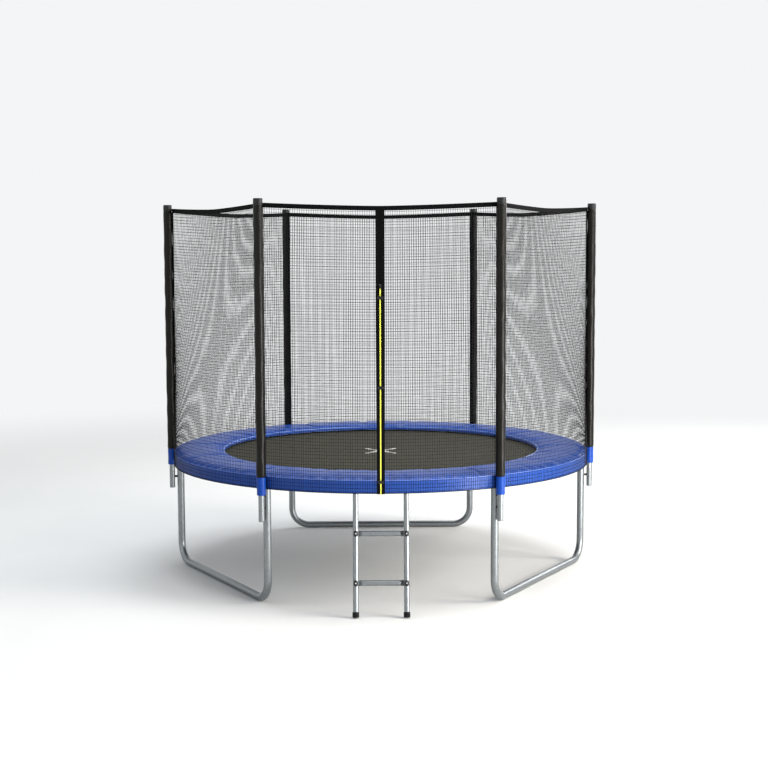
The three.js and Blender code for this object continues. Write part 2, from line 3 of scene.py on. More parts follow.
import bpy
import numpy as np
from numpy import array, concatenate, cos, exp, linspace, pi, sin
from mathutils import Matrix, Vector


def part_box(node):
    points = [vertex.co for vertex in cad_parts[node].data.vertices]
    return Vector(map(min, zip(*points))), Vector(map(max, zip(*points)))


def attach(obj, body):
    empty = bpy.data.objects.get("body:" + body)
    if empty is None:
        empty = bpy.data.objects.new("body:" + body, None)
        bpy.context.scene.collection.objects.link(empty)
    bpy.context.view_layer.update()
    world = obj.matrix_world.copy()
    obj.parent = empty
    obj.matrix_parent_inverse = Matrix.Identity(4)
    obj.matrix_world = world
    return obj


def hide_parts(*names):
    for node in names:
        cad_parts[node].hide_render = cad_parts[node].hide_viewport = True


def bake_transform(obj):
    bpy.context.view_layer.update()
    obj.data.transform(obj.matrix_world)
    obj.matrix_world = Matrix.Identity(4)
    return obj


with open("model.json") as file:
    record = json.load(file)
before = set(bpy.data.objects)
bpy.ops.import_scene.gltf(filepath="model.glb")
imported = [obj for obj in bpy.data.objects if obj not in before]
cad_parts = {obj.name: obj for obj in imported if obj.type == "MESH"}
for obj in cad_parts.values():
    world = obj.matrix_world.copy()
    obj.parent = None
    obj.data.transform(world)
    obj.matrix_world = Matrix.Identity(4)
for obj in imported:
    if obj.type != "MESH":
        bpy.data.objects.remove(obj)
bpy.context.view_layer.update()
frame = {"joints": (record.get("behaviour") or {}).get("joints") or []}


def nodeBox(node):
    low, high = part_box(node)
    return array(low), array(high)


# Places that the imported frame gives
matLow, matHigh = nodeBox("jumping_mat")
padLow, padHigh = nodeBox("safety_pad")
legLow, legHigh = nodeBox("leg_upright_right")
sleeveLow, sleeveHigh = nodeBox("pole_sleeve_right")
bootLow, bootHigh = nodeBox("pole_boot_right")
poleLow, poleHigh = nodeBox("pole_right")
capTop = nodeBox("pole_cap_right")[1][2]
netLow, netHigh = nodeBox("net_panel_back_right")
joints = {joint["name"]: joint for joint in frame["joints"]}

ringCentre = array([0, (matLow[1] + matHigh[1]) / 2, 0])
cornerNames = ["right", "back_right", "back_left", "left", "front_left", "front_right"]
panelNames = ["back_right", "back", "back_left", "front_left", "front", "front_right"]
fullTurn = 2 * pi
sixth = pi / 3
axisUp = array([0.0, 0.0, 1.0])


def joined(*parts):
    # Numbers and arrays side by side as the coordinates of points
    return np.stack(np.broadcast_arrays(*parts), axis=-1)


def outward(angle):
    # The level direction at an angle round the ring
    return joined(cos(angle), sin(angle), 0.0)


def evenAngles(count):
    # Steps of a full turn divided by the count
    return np.arange(count) * fullTurn / count


def unit(vectors):
    return vectors / np.linalg.norm(vectors, axis=-1, keepdims=True)


def addObject(name, data):
    thing = bpy.data.objects.new(name, data)
    bpy.context.scene.collection.objects.link(thing)
    return thing


def setAxes(thing, right, above, back, place):
    rows = np.column_stack([right, above, back, place]).tolist()
    thing.matrix_world = Matrix(rows + [[0, 0, 0, 1]])


# The camera stands at the photograph's viewing angle, metres and degrees
cameraView = {
    "distance": 8.331,  # from the ring's axis
    "height": 1.878,
    "pitchDown": 5.525,
    "yaw": 0.145,
    "roll": 0.223,
    "lens": 65.86,
    "sensor": 36,
    "farthest": 200,
}


def makeCamera():
    # Axes from pitch, yaw and roll, at the distance in front of the ring's axis
    view = cameraView
    pitch, yaw, roll = np.radians([view[k] for k in ("pitchDown", "yaw", "roll")])
    forward = array([cos(pitch) * sin(yaw), cos(pitch) * cos(yaw), -sin(pitch)])
    level = array([cos(yaw), -sin(yaw), 0])
    above = np.cross(level, forward)
    right = cos(roll) * level - sin(roll) * above
    above = sin(roll) * level + cos(roll) * above
    camera = addObject("camera", bpy.data.cameras.new("camera"))
    camera.data.sensor_width = view["sensor"]
    camera.data.lens = view["lens"]
    camera.data.clip_end = view["farthest"]
    setAxes(camera, right, above, -forward, ringCentre + [0, -view["distance"], view["height"]])
    bpy.context.scene.camera = camera


makeCamera()
print("camera placed")


# A shape is (points, quads, caps), with each cap a closed outline of point numbers
def facingOut(points, quads, caps):
    # The signed volume of the fans over every face is positive when faces point outwards
    centred = points - points.mean(axis=0)
    fans = [quads[:, [0, 1, 2]], quads[:, [0, 2, 3]]]
    fans += [joined(cap[0], cap[1:-1], cap[2:]) for cap in caps]
    corner = centred[concatenate(fans)]
    volume = np.einsum("ij,ij->", corner[:, 0], np.cross(corner[:, 1], corner[:, 2]))
    if volume < 0:
        return points, quads[:, ::-1], [cap[::-1] for cap in caps]
    return points, quads, caps


def gridShape(points, alongLoop=False):
    # A grid of points, rows by columns: columns close round, rows close too or get flat ends
    rows, columns = points.shape[:2]
    i = np.arange(rows if alongLoop else rows - 1)[:, None]
    j = np.arange(columns)[None, :]
    nextI, nextJ = (i + 1) % rows, (j + 1) % columns
    quads = joined(i * columns + j, nextI * columns + j, nextI * columns + nextJ, i * columns + nextJ)
    caps = []
    if not alongLoop:
        caps = [np.arange(columns), (rows - 1) * columns + np.arange(columns)[::-1]]
    return facingOut(points.reshape(-1, 3), quads.reshape(-1, 4), caps)


def slabShape(grid, normal, thickness):
    # A sheet of points with a wall: point +- normal * thickness / 2, joined by quads round the rim
    half = normal * thickness / 2
    rows, columns = grid.shape[:2]
    count = rows * columns
    index = np.arange(count).reshape(rows, columns)
    faces = joined(index[:-1, :-1], index[1:, :-1], index[1:, 1:], index[:-1, 1:]).reshape(-1, 4)
    rim = concatenate([index[0], index[1:, -1], index[-1, -2::-1], index[-2:0:-1, 0]])
    ahead = np.roll(rim, -1)
    wall = joined(rim, ahead, ahead + count, rim + count)
    points = concatenate([(grid + half).reshape(-1, 3), (grid - half).reshape(-1, 3)])
    return facingOut(points, concatenate([faces, faces[:, ::-1] + count, wall]), [])


def circle(radius, sides):
    # Radius times cosine and sine of even angles, from half a step on
    angle = evenAngles(sides) + pi / sides
    return joined(radius * cos(angle), radius * sin(angle))


def swept(path, profile, normal, looped=False):
    # The profile is carried along the path: its x across the path, its y along the normal
    if looped:
        tangent = unit(np.roll(path, -1, axis=0) - np.roll(path, 1, axis=0))
    else:
        tangent = unit(np.gradient(path, axis=0))
    normal = np.broadcast_to(np.asarray(normal, float), path.shape)
    normal = unit(normal - np.einsum("ij,ij->i", normal, tangent)[:, None] * tangent)
    across = np.cross(tangent, normal)
    profile = np.broadcast_to(profile, (len(path),) + profile.shape[-2:])
    points = path[:, None] + profile[..., :1] * across[:, None] + profile[..., 1:] * normal[:, None]
    return gridShape(points, alongLoop=looped)


def spun(outline, origin, axis=(0, 0, 1), sides=32, looped=False):
    # Each outline point is (distance along the axis, radius), turned round the axis
    axis = unit(np.asarray(axis, float))
    side = unit(np.cross(axis, [0, 1, 0] if abs(axis[1]) < 0.9 else [1, 0, 0]))
    other = np.cross(axis, side)
    along, radius = np.asarray(outline, float).T[:, :, None, None]
    angle = evenAngles(sides)
    around = cos(angle)[:, None] * side + sin(angle)[:, None] * other
    return gridShape(np.asarray(origin) + along * axis + radius * around, looped)


def manyRibbons(centres, across, normal, width, thickness):
    # Strands side by side, each a box section along its own row of points
    a, n = across * width / 2, normal * thickness / 2
    points = np.stack([centres - a - n, centres + a - n, centres + a + n, centres - a + n], axis=2)
    strands, stations = centres.shape[:2]
    one = gridShape(points[0])
    quads = concatenate([one[1], np.stack(one[2])])
    shift = np.arange(strands) * stations * 4
    return points.reshape(-1, 3), (quads[None] + shift[:, None, None]).reshape(-1, 4), []


def turned(points, angle):
    # A turn about the vertical: x and y mixed by the angle's cosine and sine
    c, s = cos(angle), sin(angle)
    return points @ array([[c, s, 0], [-s, c, 0], [0, 0, 1]])


def atAngle(angle):
    # From the ring's own axes to the frame: a turn about the ring's axis, then its place
    return lambda points: turned(points, angle) + ringCentre


def moved(shape, place):
    return (place(shape[0]), *shape[1:])


def ripples(seed, a, b, rangeA, rangeB, count=10):
    # A sum of plane waves with random directions, about -1 to 1, for folds and creases
    chance = np.random.default_rng(seed)
    total = np.zeros(np.broadcast(a, b).shape)
    for _ in range(count):
        waveA = chance.uniform(*rangeA) * chance.choice([-1, 1])
        waveB = chance.uniform(*rangeB)
        total += sin(waveA * a + waveB * b + chance.uniform(0, 6.28)) / count ** 0.5
    return total


def addPiece(name, shapes, material, place=None, body="frame", replaces=None, sharpAngle=40):
    # The shapes become one mesh, seated by place, a function of points
    points, quads, caps, start = [], [], [], 0
    for shape in shapes:
        points.append(place(shape[0]) if place else shape[0])
        quads.append(shape[1] + start)
        caps += [(cap + start).tolist() for cap in shape[2]]
        start += len(shape[0])
    mesh = bpy.data.meshes.new(name)
    mesh.from_pydata(concatenate(points).tolist(), [], concatenate(quads).tolist() + caps)
    mesh.polygons.foreach_set("use_smooth", np.ones(len(mesh.polygons), bool))
    mesh.set_sharp_from_angle(angle=np.radians(sharpAngle))
    mesh.materials.append(material)
    piece = addObject(name, mesh)
    if body:
        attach(piece, body)
    if replaces:
        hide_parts(replaces)
    return piece


def addSix(*kinds):
    # The same pieces at each of the six corners
    for k, corner in enumerate(cornerNames):
        for name, shapes, material, node in kinds:
            replaced = node and f"{node}_{corner}"
            addPiece(f"{name}_{corner}", shapes, material, atAngle(k * sixth), replaces=replaced)


def linear(hexColour):
    # From an sRGB hex colour to linear light
    values = array([int(hexColour[i:i + 2], 16) for i in (1, 3, 5)]) / 255
    values = np.where(values <= 0.04045, values / 12.92, ((values + 0.055) / 1.055) ** 2.4)
    return (*values, 1.0)


def addNode(tree, kind, output=0, settings={}, values={}, links={}):
    # Makes a shader node, sets and links its inputs, and gives the socket that the next node reads
    node = tree.nodes.new("ShaderNode" + kind)
    for key, value in settings.items():
        setattr(node, key, value)
    for key, value in values.items():
        node.inputs[key].default_value = value
    for key, source in links.items():
        tree.links.new(source, node.inputs[key])
    return node.outputs[output]


# Each of these makes one node and gives its output
def noise(place, scale, detail, distortion=0.0):
    values = {"Scale": scale, "Detail": detail, "Distortion": distortion}
    return addNode(place.id_data, "TexNoise", "Fac", {}, values, {"Vector": place})


def threads(place, direction, period):
    # The wave texture repeats every pi / 10 / scale
    values = {"Scale": pi / 10 / period}
    return addNode(place.id_data, "TexWave", "Fac", {"bands_direction": direction}, values, {"Vector": place})


def combined(operation, first, second):
    return addNode(first.id_data, "Math", 0, {"operation": operation}, {}, {0: first, 1: second})


def blended(share, first, second):
    # Sockets of the colour mix: 0 share, 6 and 7 colours, output 2
    values = {6: linear(first), 7: linear(second)}
    return addNode(share.id_data, "Mix", 2, {"data_type": "RGBA"}, values, {0: share})


def spread(share, low, high):
    return addNode(share.id_data, "MapRange", "Result", {}, {"To Min": low, "To Max": high}, {"Value": share})


def relief(height, strength, distance, **below):
    values = {"Strength": strength, "Distance": distance}
    return addNode(height.id_data, "Bump", "Normal", {}, values, {"Height": height, **below})


def startMaterial(name, shine, **values):
    material = bpy.data.materials.new(name)
    material.use_nodes = True
    inputs = material.node_tree.nodes["Principled BSDF"].inputs
    inputs["Specular IOR Level"].default_value = shine
    for key, value in values.items():
        inputs[key].default_value = value
    return material, addNode(material.node_tree, "TexCoord", "Object")


def joinShader(material, sources):
    tree = material.node_tree
    for key, source in sources.items():
        tree.links.new(source, tree.nodes["Principled BSDF"].inputs[key])
    return material


def galvanisedSteel(name, light, dark, metallic, spangle=0.012):
    # Hot-dip zinc on drawn tube: a dull oxide skin over bright metal, so it shades softly from side to
    # side as well as mirroring, with a faint crystal spangle
    material, place = startMaterial(name, 0.3, Metallic=metallic)
    crystals = addNode(place.id_data, "TexVoronoi", "Distance", {}, {"Scale": 1 / spangle}, {"Vector": place})
    haze = noise(place, 35, 4)
    return joinShader(material, {
        "Base Color": blended(combined("MULTIPLY", crystals, haze), light, dark),
        "Roughness": spread(haze, 0.28, 0.42),
        "Normal": relief(noise(place, 260, 2), 0.06, 0.0005),
    })


def coatedVinyl(name, colour, worn, gloss, shine):
    # PVC-coated polyester, calendered: even colour, soft plastic shine, the scrim shows as a faint grid.
    # The real scrim is about 1 mm, drawn at 4 mm so that it shows.
    material, place = startMaterial(name, shine)
    cloud = noise(place, 7, 3)
    scrim = combined("ADD", threads(place, "X", 0.004), threads(place, "Y", 0.004))
    fine = relief(scrim, 0.06, 0.0004)
    return joinShader(material, {
        "Base Color": blended(cloud, colour, worn),
        "Roughness": spread(cloud, gloss - 0.06, gloss + 0.1),
        "Normal": relief(noise(place, 24, 5, 0.6), 0.25, 0.0015, Normal=fine),
    })


def wovenCloth(name, colour, crownSheen, pitch, roughness, directions=("X", "Y"), shine=0.12):
    # Woven polypropylene: flat tapes over and under each other, matt, with the weave also in the colour, its
    # crowns slightly lighter as a painted sheen.
    # The real tapes are 1 to 2 mm wide, drawn coarser here so that they show.
    material, place = startMaterial(name, shine, Roughness=roughness)
    weave = combined("MULTIPLY", *[threads(place, way, pitch) for way in directions])
    return joinShader(material, {
        "Base Color": blended(combined("MULTIPLY", weave, noise(place, 12, 4)), colour, crownSheen),
        "Normal": relief(weave, 0.5, 0.0006),
    })


def mouldedPolymer(name, colour, pale, roughness, grain=900, depth=0.0002, shine=0.3):
    # Injection-moulded or extruded polymer: even colour with a faint bloom, and a fine spark-eroded grain
    material, place = startMaterial(name, shine)
    bloom = noise(place, 40, 4)
    return joinShader(material, {
        "Base Color": blended(bloom, colour, pale),
        "Roughness": spread(bloom, roughness - 0.08, roughness + 0.08),
        "Normal": relief(noise(place, grain, 2), 0.3, depth),
    })


zincTube = galvanisedSteel("galvanisedTube", "#8A8E90", "#6B6F71", 0.85)
zincWire = galvanisedSteel("zincPlatedWire", "#B9BDBF", "#85898C", 0.9, spangle=0.004)
zincBolt = galvanisedSteel("zincPlatedBolt", "#D5D7D8", "#9A9DA0", 0.9, spangle=0.003)
padVinyl = coatedVinyl("padVinyl", "#1E479A", "#2751A8", gloss=0.30, shine=0.25)
# The pipings are real welts, coloured paler than the pad as a painted highlight along the inner edge and the
# rim
pipingPaintedHighlight = coatedVinyl("pipingPaintedHighlight", "#6F8FE0", "#86A2E8", gloss=0.25, shine=0.5)
rimPaintedHighlight = coatedVinyl("rimPipingPaintedHighlight", "#5578D6", "#6688DE", gloss=0.22, shine=0.5)
bootVinyl = coatedVinyl("bootVinyl", "#06368C", "#0C4098", gloss=0.36, shine=0.2)
foamCover = mouldedPolymer("foamSleeveCover", "#0A0A08", "#16140F", 0.34, grain=220, depth=0.0006, shine=0.15)
blackPlastic = mouldedPolymer("blackPolypropylene", "#0B0B0C", "#151516", 0.42)
footRubber = mouldedPolymer("footRubber", "#0D0D0D", "#191919", 0.75, grain=500, shine=0.15)
netYarn = mouldedPolymer("netYarn", "#080809", "#101012", 0.65, grain=700, shine=0.12)
webbing = wovenCloth("blackWebbing", "#060607", "#101011", 0.0035, 0.75, ("X", "Z"), shine=0.05)
matWeave = wovenCloth("matWeave", "#34332A", "#5B594A", 0.006, 0.7, shine=0.1)
zipYellow = wovenCloth("zipTape", "#EAEC58", "#F6F788", 0.003, 0.45, ("X", "Z"))
markThread = wovenCloth("markThread", "#E0DFD6", "#EFEEE6", 0.004, 0.6)
print("materials made")


# Steel ring and legs
steelTube = {
    "radius": 0.021,
    "sides": 32,
    "ringRadius": 1.1948,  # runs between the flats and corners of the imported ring
    "ringHeight": 0.652,
    "jointGap": 0.0006,
    "legJoint": 0.190,
    "edge": 0.0012,  # rolled lower end of an upright
    "neck": 0.0191,
    "stubLevels": (0.02, 0.0004, 0, -0.0012, -0.0018, -0.02),  # from the joint
    "stubEdge": 0.0009,
    "bendRadius": 0.112,
    "weld": 0.0022,
    "weldLumps": 18,
}
legRadius = (legLow[0] + legHigh[0]) / 2


def weldBead(centre, radius):
    # A ring of small lumps where the upright meets the rail
    angle = evenAngles(72)
    lumps = steelTube["weld"] * (1 + 0.25 * sin(angle * steelTube["weldLumps"]))
    return swept(outward(angle) * radius + centre, circle(1, 8) * lumps[:, None, None], axisUp, looped=True)


def makeRails():
    # A tube along a sixth of the ring, short of both joints, and a weld bead round the leg under it
    s = steelTube
    gap = s["jointGap"] / s["ringRadius"]
    angle = linspace(gap - sixth / 2, sixth / 2 - gap, 49)
    path = outward(angle) * s["ringRadius"] + axisUp * s["ringHeight"]
    arc = swept(path, circle(s["radius"], s["sides"]), axisUp)
    seat = s["ringHeight"] - s["radius"] * 0.97
    bead = weldBead([legRadius, 0, seat], s["radius"] + 0.0006)
    addSix(("topRail", [arc, bead], zincTube, "top_rail"))


def makeUprights():
    # A straight tube, rolled in at its lower end and flat at its upper one
    s = steelTube
    r, low, high, edge = s["radius"], s["legJoint"] + s["jointGap"], legHigh[2] + 0.001, s["edge"]
    outline = [[low, r - edge], [low + edge * 0.3, r - edge * 0.3], [low + edge, r], [low + edge * 2, r],
            [high - edge, r], [high, r]]
    tube = spun(outline, [legRadius, 0, 0], sides=s["sides"])
    addSix(("legUpright", [tube], zincTube, "leg_upright"))


def makeLegBases():
    # Half of the U: down the stub, a quarter bend, then along the floor to the middle, and its mirror image
    s = steelTube
    half, r, bend = legRadius * sin(sixth / 2), s["radius"], s["bendRadius"]
    angle = linspace(0, pi / 2, 17)
    corner = joined(half - bend + bend * cos(angle), 0.0, r + bend - bend * sin(angle))
    stub = joined(half, 0.0, array(s["stubLevels"]) + s["legJoint"])
    side = concatenate([stub, corner, [[half * 0.5, 0, r]]])
    radii = np.full(len(side), r)
    radii[:3] = [s["neck"], s["neck"], r - s["stubEdge"]]
    path = concatenate([side, [[0, 0, r]], side[::-1] * [-1, 1, 1]])
    radii = concatenate([radii, [r], radii[::-1]])
    base = swept(path, circle(1, s["sides"]) * radii[:, None, None], [0, 1, 0])
    for name, panel in (("back", 1), ("left", 3), ("right", 5)):
        middle = (panel + 0.5) * sixth
        out = outward(middle) * legRadius * cos(sixth / 2) + ringCentre
        addPiece(f"legBase_{name}", [base], zincTube,
            lambda points: turned(points, middle - pi / 2) + out, replaces=f"leg_base_{name}")


makeRails()
makeUprights()
makeLegBases()
print("ring and legs made")


# Poles, boots, foam sleeves and caps, with edges as (height, radius) from the part's end and skin
poleParts = {
    "tube": 0.016,
    "tubeFoot": ((0.004, -0.0016), (0, -0.0014), (0, -0.0004), (0.0006, 0), (0.002, 0)),
    "plug": ((0.0035, -0.002), (0.0035, -0.0021), (0.02, -0.003)),
    "sleeve": {"radius": 0.0249, "rows": 150, "swell": 0.0007, "hem": 0.05, "around": (0.6, 2.6),
            "up": (6, 55)},
    "boot": {"radius": 0.0236, "rows": 40, "swell": 0.0005, "hem": 0.02, "around": (0.5, 2.0),
            "up": (20, 90)},
    "spacer": 0.0064,
    "spacerFlange": 0.0012,
    "spacerHeights": (0.523, 0.588),
    "capEdge": ((0, -0.0006), (0.0006, 0), (0.006, 0), (0.0066, -0.0008), (0.0074, -0.0008), (0.008, 0)),
    "capDome": 0.005,
}
poleDistance = (sleeveLow[0] + sleeveHigh[0]) / 2


def makePoles():
    # Tubes with a rolled foot and a plug in it, and spacers that widen to a flange at both ends
    p = poleParts
    low, high, r = poleLow[2], poleHigh[2], p["tube"]
    tube = spun([*(array(p["tubeFoot"]) + [low, r]), [high, r]], [poleDistance, 0, 0])
    inner, outer = legRadius + steelTube["radius"], poleDistance - r
    wide, slim = p["spacer"] + p["spacerFlange"], p["spacer"]
    outline = [[inner - 0.0012, wide], [inner + 0.0015, wide], [inner + 0.003, slim],
            [outer - 0.003, slim], [outer - 0.0015, wide], [outer + 0.0015, wide]]
    inside = [spun(outline, [0, 0, z], axis=(1, 0, 0), sides=20) for z in p["spacerHeights"]]
    inside.append(spun(array(p["plug"]) + [low, r], [poleDistance, 0, 0]))
    addSix(("poleTube", [tube], zincTube, "pole"), ("poleSpacers", inside, blackPlastic, None))


def tubeOfCloth(part, seed, low, high):
    # A soft tube: the radius swells and creases with height and angle, and is drawn in at both hems
    z = linspace(low, high, part["rows"])[:, None]
    angle = evenAngles(48)
    edge = np.minimum(z - low, high - z)
    settle = 1 - exp(-edge / part["hem"])
    crease = ripples(seed, sin(angle) * 1.7, z, part["around"], part["up"])
    crease = crease + 0.6 * ripples(seed + 50, cos(angle) * 1.7, z, part["around"], part["up"])
    sharp = np.sign(crease) * np.abs(crease) ** 0.7
    r = part["radius"] + part["swell"] * settle * sharp - 0.0012 * exp(-edge / 0.0012)
    return gridShape(joined(poleDistance + r * cos(angle), r * sin(angle), z))


def makeSleeves():
    # Sleeves and boots of cloth, and a cap: a wall with a groove, then a quarter circle to its flat top
    p = poleParts
    dome, r, seat = p["capDome"], p["sleeve"]["radius"], sleeveHigh[2] + 0.0003
    bend = linspace(0, pi / 2, 7)
    rim = joined(capTop - dome + dome * sin(bend), r - dome + dome * cos(bend))
    cap = spun([*(array(p["capEdge"]) + [seat, r]), *rim], [poleDistance, 0, 0], sides=40)
    for k, corner in enumerate(cornerNames):
        place = atAngle(k * sixth)
        sleeve = tubeOfCloth(p["sleeve"], 10 + k, sleeveLow[2], sleeveHigh[2])
        sleeve = addPiece(f"poleSleeve_{corner}", [sleeve], foamCover, place,
            replaces=f"pole_sleeve_{corner}", sharpAngle=75)
        boot = tubeOfCloth(p["boot"], 30 + k, bootLow[2], bootHigh[2])
        boot = addPiece(f"poleBoot_{corner}", [boot], bootVinyl, place,
            replaces=f"pole_boot_{corner}", sharpAngle=75)
        addPiece(f"poleCap_{corner}", [cap], blackPlastic, place, replaces=f"pole_cap_{corner}")


makePoles()
makeSleeves()
print("poles made")


# Safety pad: a pillowed foam ring with piped edges and a hanging skirt
padShape = {
    "section": (  # radius and height, from the inner underside over the crown to the rim
        (0.9335, 0.6772), (0.9292, 0.6800), (0.9275, 0.6860), (0.9296, 0.6915), (0.9350, 0.6948),
        (0.9480, 0.6990), (0.9800, 0.7030), (1.0300, 0.7052), (1.0800, 0.7058), (1.1300, 0.7048),
        (1.1700, 0.7024), (1.1950, 0.6996), (1.2100, 0.6965), (1.2172, 0.6935), (1.2195, 0.6900)),
    "steps": 54,
    "inside": 0.930,
    "softReach": (0.02, 0.01),  # from the inner edge and from the rim
    "bottom": 0.678,
    "underside": (1.1, 0.96),
    "rim": 0.6900,
    "hem": ((0.0003, 0.0012), (0.0012, 0), (0.0024, 0.0012)),  # in from the skirt and up from its end
    "skirt": 0.0018,
    "innerPipings": ((0.9337, 0.6956, 0.0029), (0.9315, 0.6790, 0.0018)),  # radius, height, size
    "rimPiping": (1.2194, 0.6922, 0.0024),
    "seamDepth": 0.0009,
    "seamWidth": 0.004,
    "pinch": (0.002, 0.07),  # depth of the skirt beside a pole, and its reach in radians
    "ridge": (0.0020, 0.052),  # depth and place in radians from the pole
    "valley": (0.0014, 0.037),
    "foldWidth": 0.009,
    "foldRadius": 1.22,
    "creases": (0.0007, 0.0012),  # of the skirt, upright and along its end
    "waves": (0.0009, 0.0007),  # of the top, broad and at the edges
    "edgeReach": (0.035, 0.03),  # of the puckers, from the rim and from the inside
    "cloth": {"quality": 4, "mass": 0.4, "shrink_min": -0.02, "use_pressure": True,
            "uniform_pressure_force": 4},
    "cap": 0.006,
    "frames": 20,
}
padRim = padHigh[0]
padSeams = np.radians([26.7, 86.7, 146.7, 206.7, 266.7, 326.7]) - pi / 2


def fromSeams(angle):
    # The angle to the nearest seam, for any array of angles
    return np.min(np.abs((angle[..., None] - padSeams + pi) % fullTurn - pi), axis=-1)


def padAngles():
    # Even steps with finer ones round each seam
    even = evenAngles(420)
    near = (padSeams[:, None] + linspace(-1, 1, 25)[None, :] ** 3 * 0.02).ravel() % fullTurn
    return np.sort(concatenate([even[fromSeams(even) > 0.021], near]))


def smoothLine(corners, count):
    # A curve through the corners: a cubic on each span, with end slopes from the neighbours on both sides
    corners = np.asarray(corners, float)
    along = concatenate([[0], np.cumsum(np.linalg.norm(np.diff(corners, axis=0), axis=1))])
    slope = np.gradient(corners, along, axis=0)
    place = linspace(0, len(corners) - 1, count)
    k = np.clip(place.astype(int), 0, len(corners) - 2)
    s = (place - k)[:, None]
    span = (along[k + 1] - along[k])[:, None]
    ends = (1 + 2 * s) * (1 - s) ** 2 * corners[k] + s ** 2 * (3 - 2 * s) * corners[k + 1]
    return ends + span * (s * (1 - s) ** 2 * slope[k] - s ** 2 * (1 - s) * slope[k + 1])


def padOutline():
    # Points (radius, height, top weight, skirt weight) round the section: pillow, skirt, hem, inside of the
    # skirt, underside
    p = padShape
    radius, height = smoothLine(p["section"], p["steps"]).T
    inner, outer = p["softReach"]
    soft = np.clip((radius - p["inside"] + 0.002) / inner, 0.1, 1) * np.clip((padRim - radius) / outer, 0, 1)
    down = linspace(0.02, 0.97, 18)
    skirt = joined(padRim - 0.0005, p["rim"] - (p["rim"] - padLow[2]) * down, 0.0, down)
    hemIn, hemUp = array(p["hem"]).T
    rise = skirt[::-3] - [p["skirt"], 0, 0, 0]
    rise = rise[rise[:, 1] < p["bottom"] - 0.002]
    under = joined([padRim - 0.0026, *p["underside"]], p["bottom"], 0.0, 0.0)
    hem = joined(padRim - hemIn, padLow[2] + hemUp, 0.0, 1.0)
    return concatenate([joined(radius, height, soft, 0.0), skirt, hem, rise, under])


def skirtFolds(angle):
    # Beside each pole the skirt is held back: a ridge and then a valley, both bell curves along the rim.
    # The folds are shallower on one side, but for the pole at the front right.
    ridge, ridgeAt = padShape["ridge"]
    valley, valleyAt = padShape["valley"]
    scale = padShape["foldRadius"] / padShape["foldWidth"]
    total = 0 * angle
    for k, corner in enumerate(cornerNames):
        for side, share in ((-1, 1.0 if corner == "front_right" else 0.35), (1, 0.5)):
            away = ((angle - k * sixth) * side + pi) % fullTurn - pi
            total += share * ridge * exp(-((away - ridgeAt) * scale) ** 2)
            total -= share * valley * exp(-((away - valleyAt) * scale * 1.4) ** 2)
    return total


def inflated(points, held):
    # Cloth over foam: every second row is blown up under pressure, the held points stay, the rest move up to
    # the cap, and the rows between take the mean of their neighbours' moves
    few = points[::2]
    shape = gridShape(few, alongLoop=True)
    mesh = bpy.data.meshes.new("padCloth")
    mesh.from_pydata(shape[0].tolist(), [], shape[1].tolist())
    cover = addObject("padCloth", mesh)
    group = cover.vertex_groups.new(name="held")
    group.add(np.flatnonzero(held[::2].ravel()).tolist(), 1.0, "REPLACE")
    settings = cover.modifiers.new("cloth", "CLOTH").settings
    settings.vertex_group_mass = "held"
    settings.effector_weights.gravity = 0
    for key, value in padShape["cloth"].items():
        setattr(settings, key, value)
    for step in range(1, padShape["frames"] + 1):
        bpy.context.scene.frame_set(step)
    blown = cover.evaluated_get(bpy.context.evaluated_depsgraph_get()).to_mesh()
    places = np.empty(few.size, dtype=np.float32)
    blown.vertices.foreach_get("co", places)
    moves = places.reshape(few.shape).astype(float) - few
    bpy.data.objects.remove(cover)
    bpy.data.meshes.remove(mesh)
    bpy.context.scene.frame_set(1)
    length = np.linalg.norm(moves, axis=-1, keepdims=True)
    moves *= np.minimum(1, padShape["cap"] / np.maximum(length, 1e-9))
    print("pad inflated, moves up to", round(float(length.max()) * 1000, 1), "mm")
    ahead = np.roll(moves, -1, axis=0)
    both = np.stack([moves, (moves + ahead) / 2], axis=1).reshape(-1, *moves.shape[1:])
    return points + both[:len(points)]


def makePad():
    # Radius and height of the section, less the pinch, creases and grooves, plus folds, swell and puckers
    p = padShape
    angle = padAngles()[:, None]
    radius, height, topWeight, skirtWeight = padOutline().T[:, None, :]
    fromSeam = fromSeams(angle) * 1.2
    groove = exp(-(fromSeam / p["seamWidth"]) ** 2)
    depth, reach = p["pinch"]
    pinch = depth * exp(-(np.abs((angle + sixth / 2) % sixth - sixth / 2) / reach) ** 4)
    outer, inner = p["edgeReach"]
    edge = exp(-((padRim - radius) / outer) ** 2) + 0.8 * exp(-((radius - p["inside"]) / inner) ** 2)
    pucker = ripples(3, angle, radius * 0, (40, 130), (0, 1), 14)
    broad = ripples(4, angle, radius, (4, 22), (3, 24), 12)
    upright, along = p["creases"]
    creases = upright * (1 - np.abs(ripples(5, angle, height, (12, 60), (5, 30), 12)))
    r = radius - skirtWeight * (pinch + creases + 0.0012 * groove - skirtFolds(angle))
    swell, small = p["waves"]
    rise = swell * broad * (1 - edge * 0.6) + small * edge * pucker - p["seamDepth"] * groove
    z = height + topWeight * rise
    atEnd = skirtWeight * (height < padLow[2] + 0.01)
    z = z + along * atEnd * ripples(6, angle, radius * 0, (10, 40), (0, 1))
    z = np.where(height <= padLow[2] + 0.0015, np.maximum(z, padLow[2] + 0.0002), z)
    points = joined(r * cos(angle), r * sin(angle), z)
    points = inflated(points, (topWeight < 0.12) | (fromSeam < 0.006))
    place = atAngle(0)
    pad = addPiece("safetyPad", [gridShape(points, alongLoop=True)], padVinyl, place,
            replaces="safety_pad", sharpAngle=70)
    around = outward(evenAngles(360))

    def piping(at, level, size):
        return swept(around * at + axisUp * level, circle(size, 10), axisUp, looped=True)

    # Welts at the inner edge and the rim, in pale blue as a painted highlight
    addPiece("padInnerPiping", [piping(*x) for x in p["innerPipings"]], pipingPaintedHighlight, place)
    addPiece("padRimPiping", [piping(*p["rimPiping"])], rimPaintedHighlight, place)


makePad()
print("pad made")


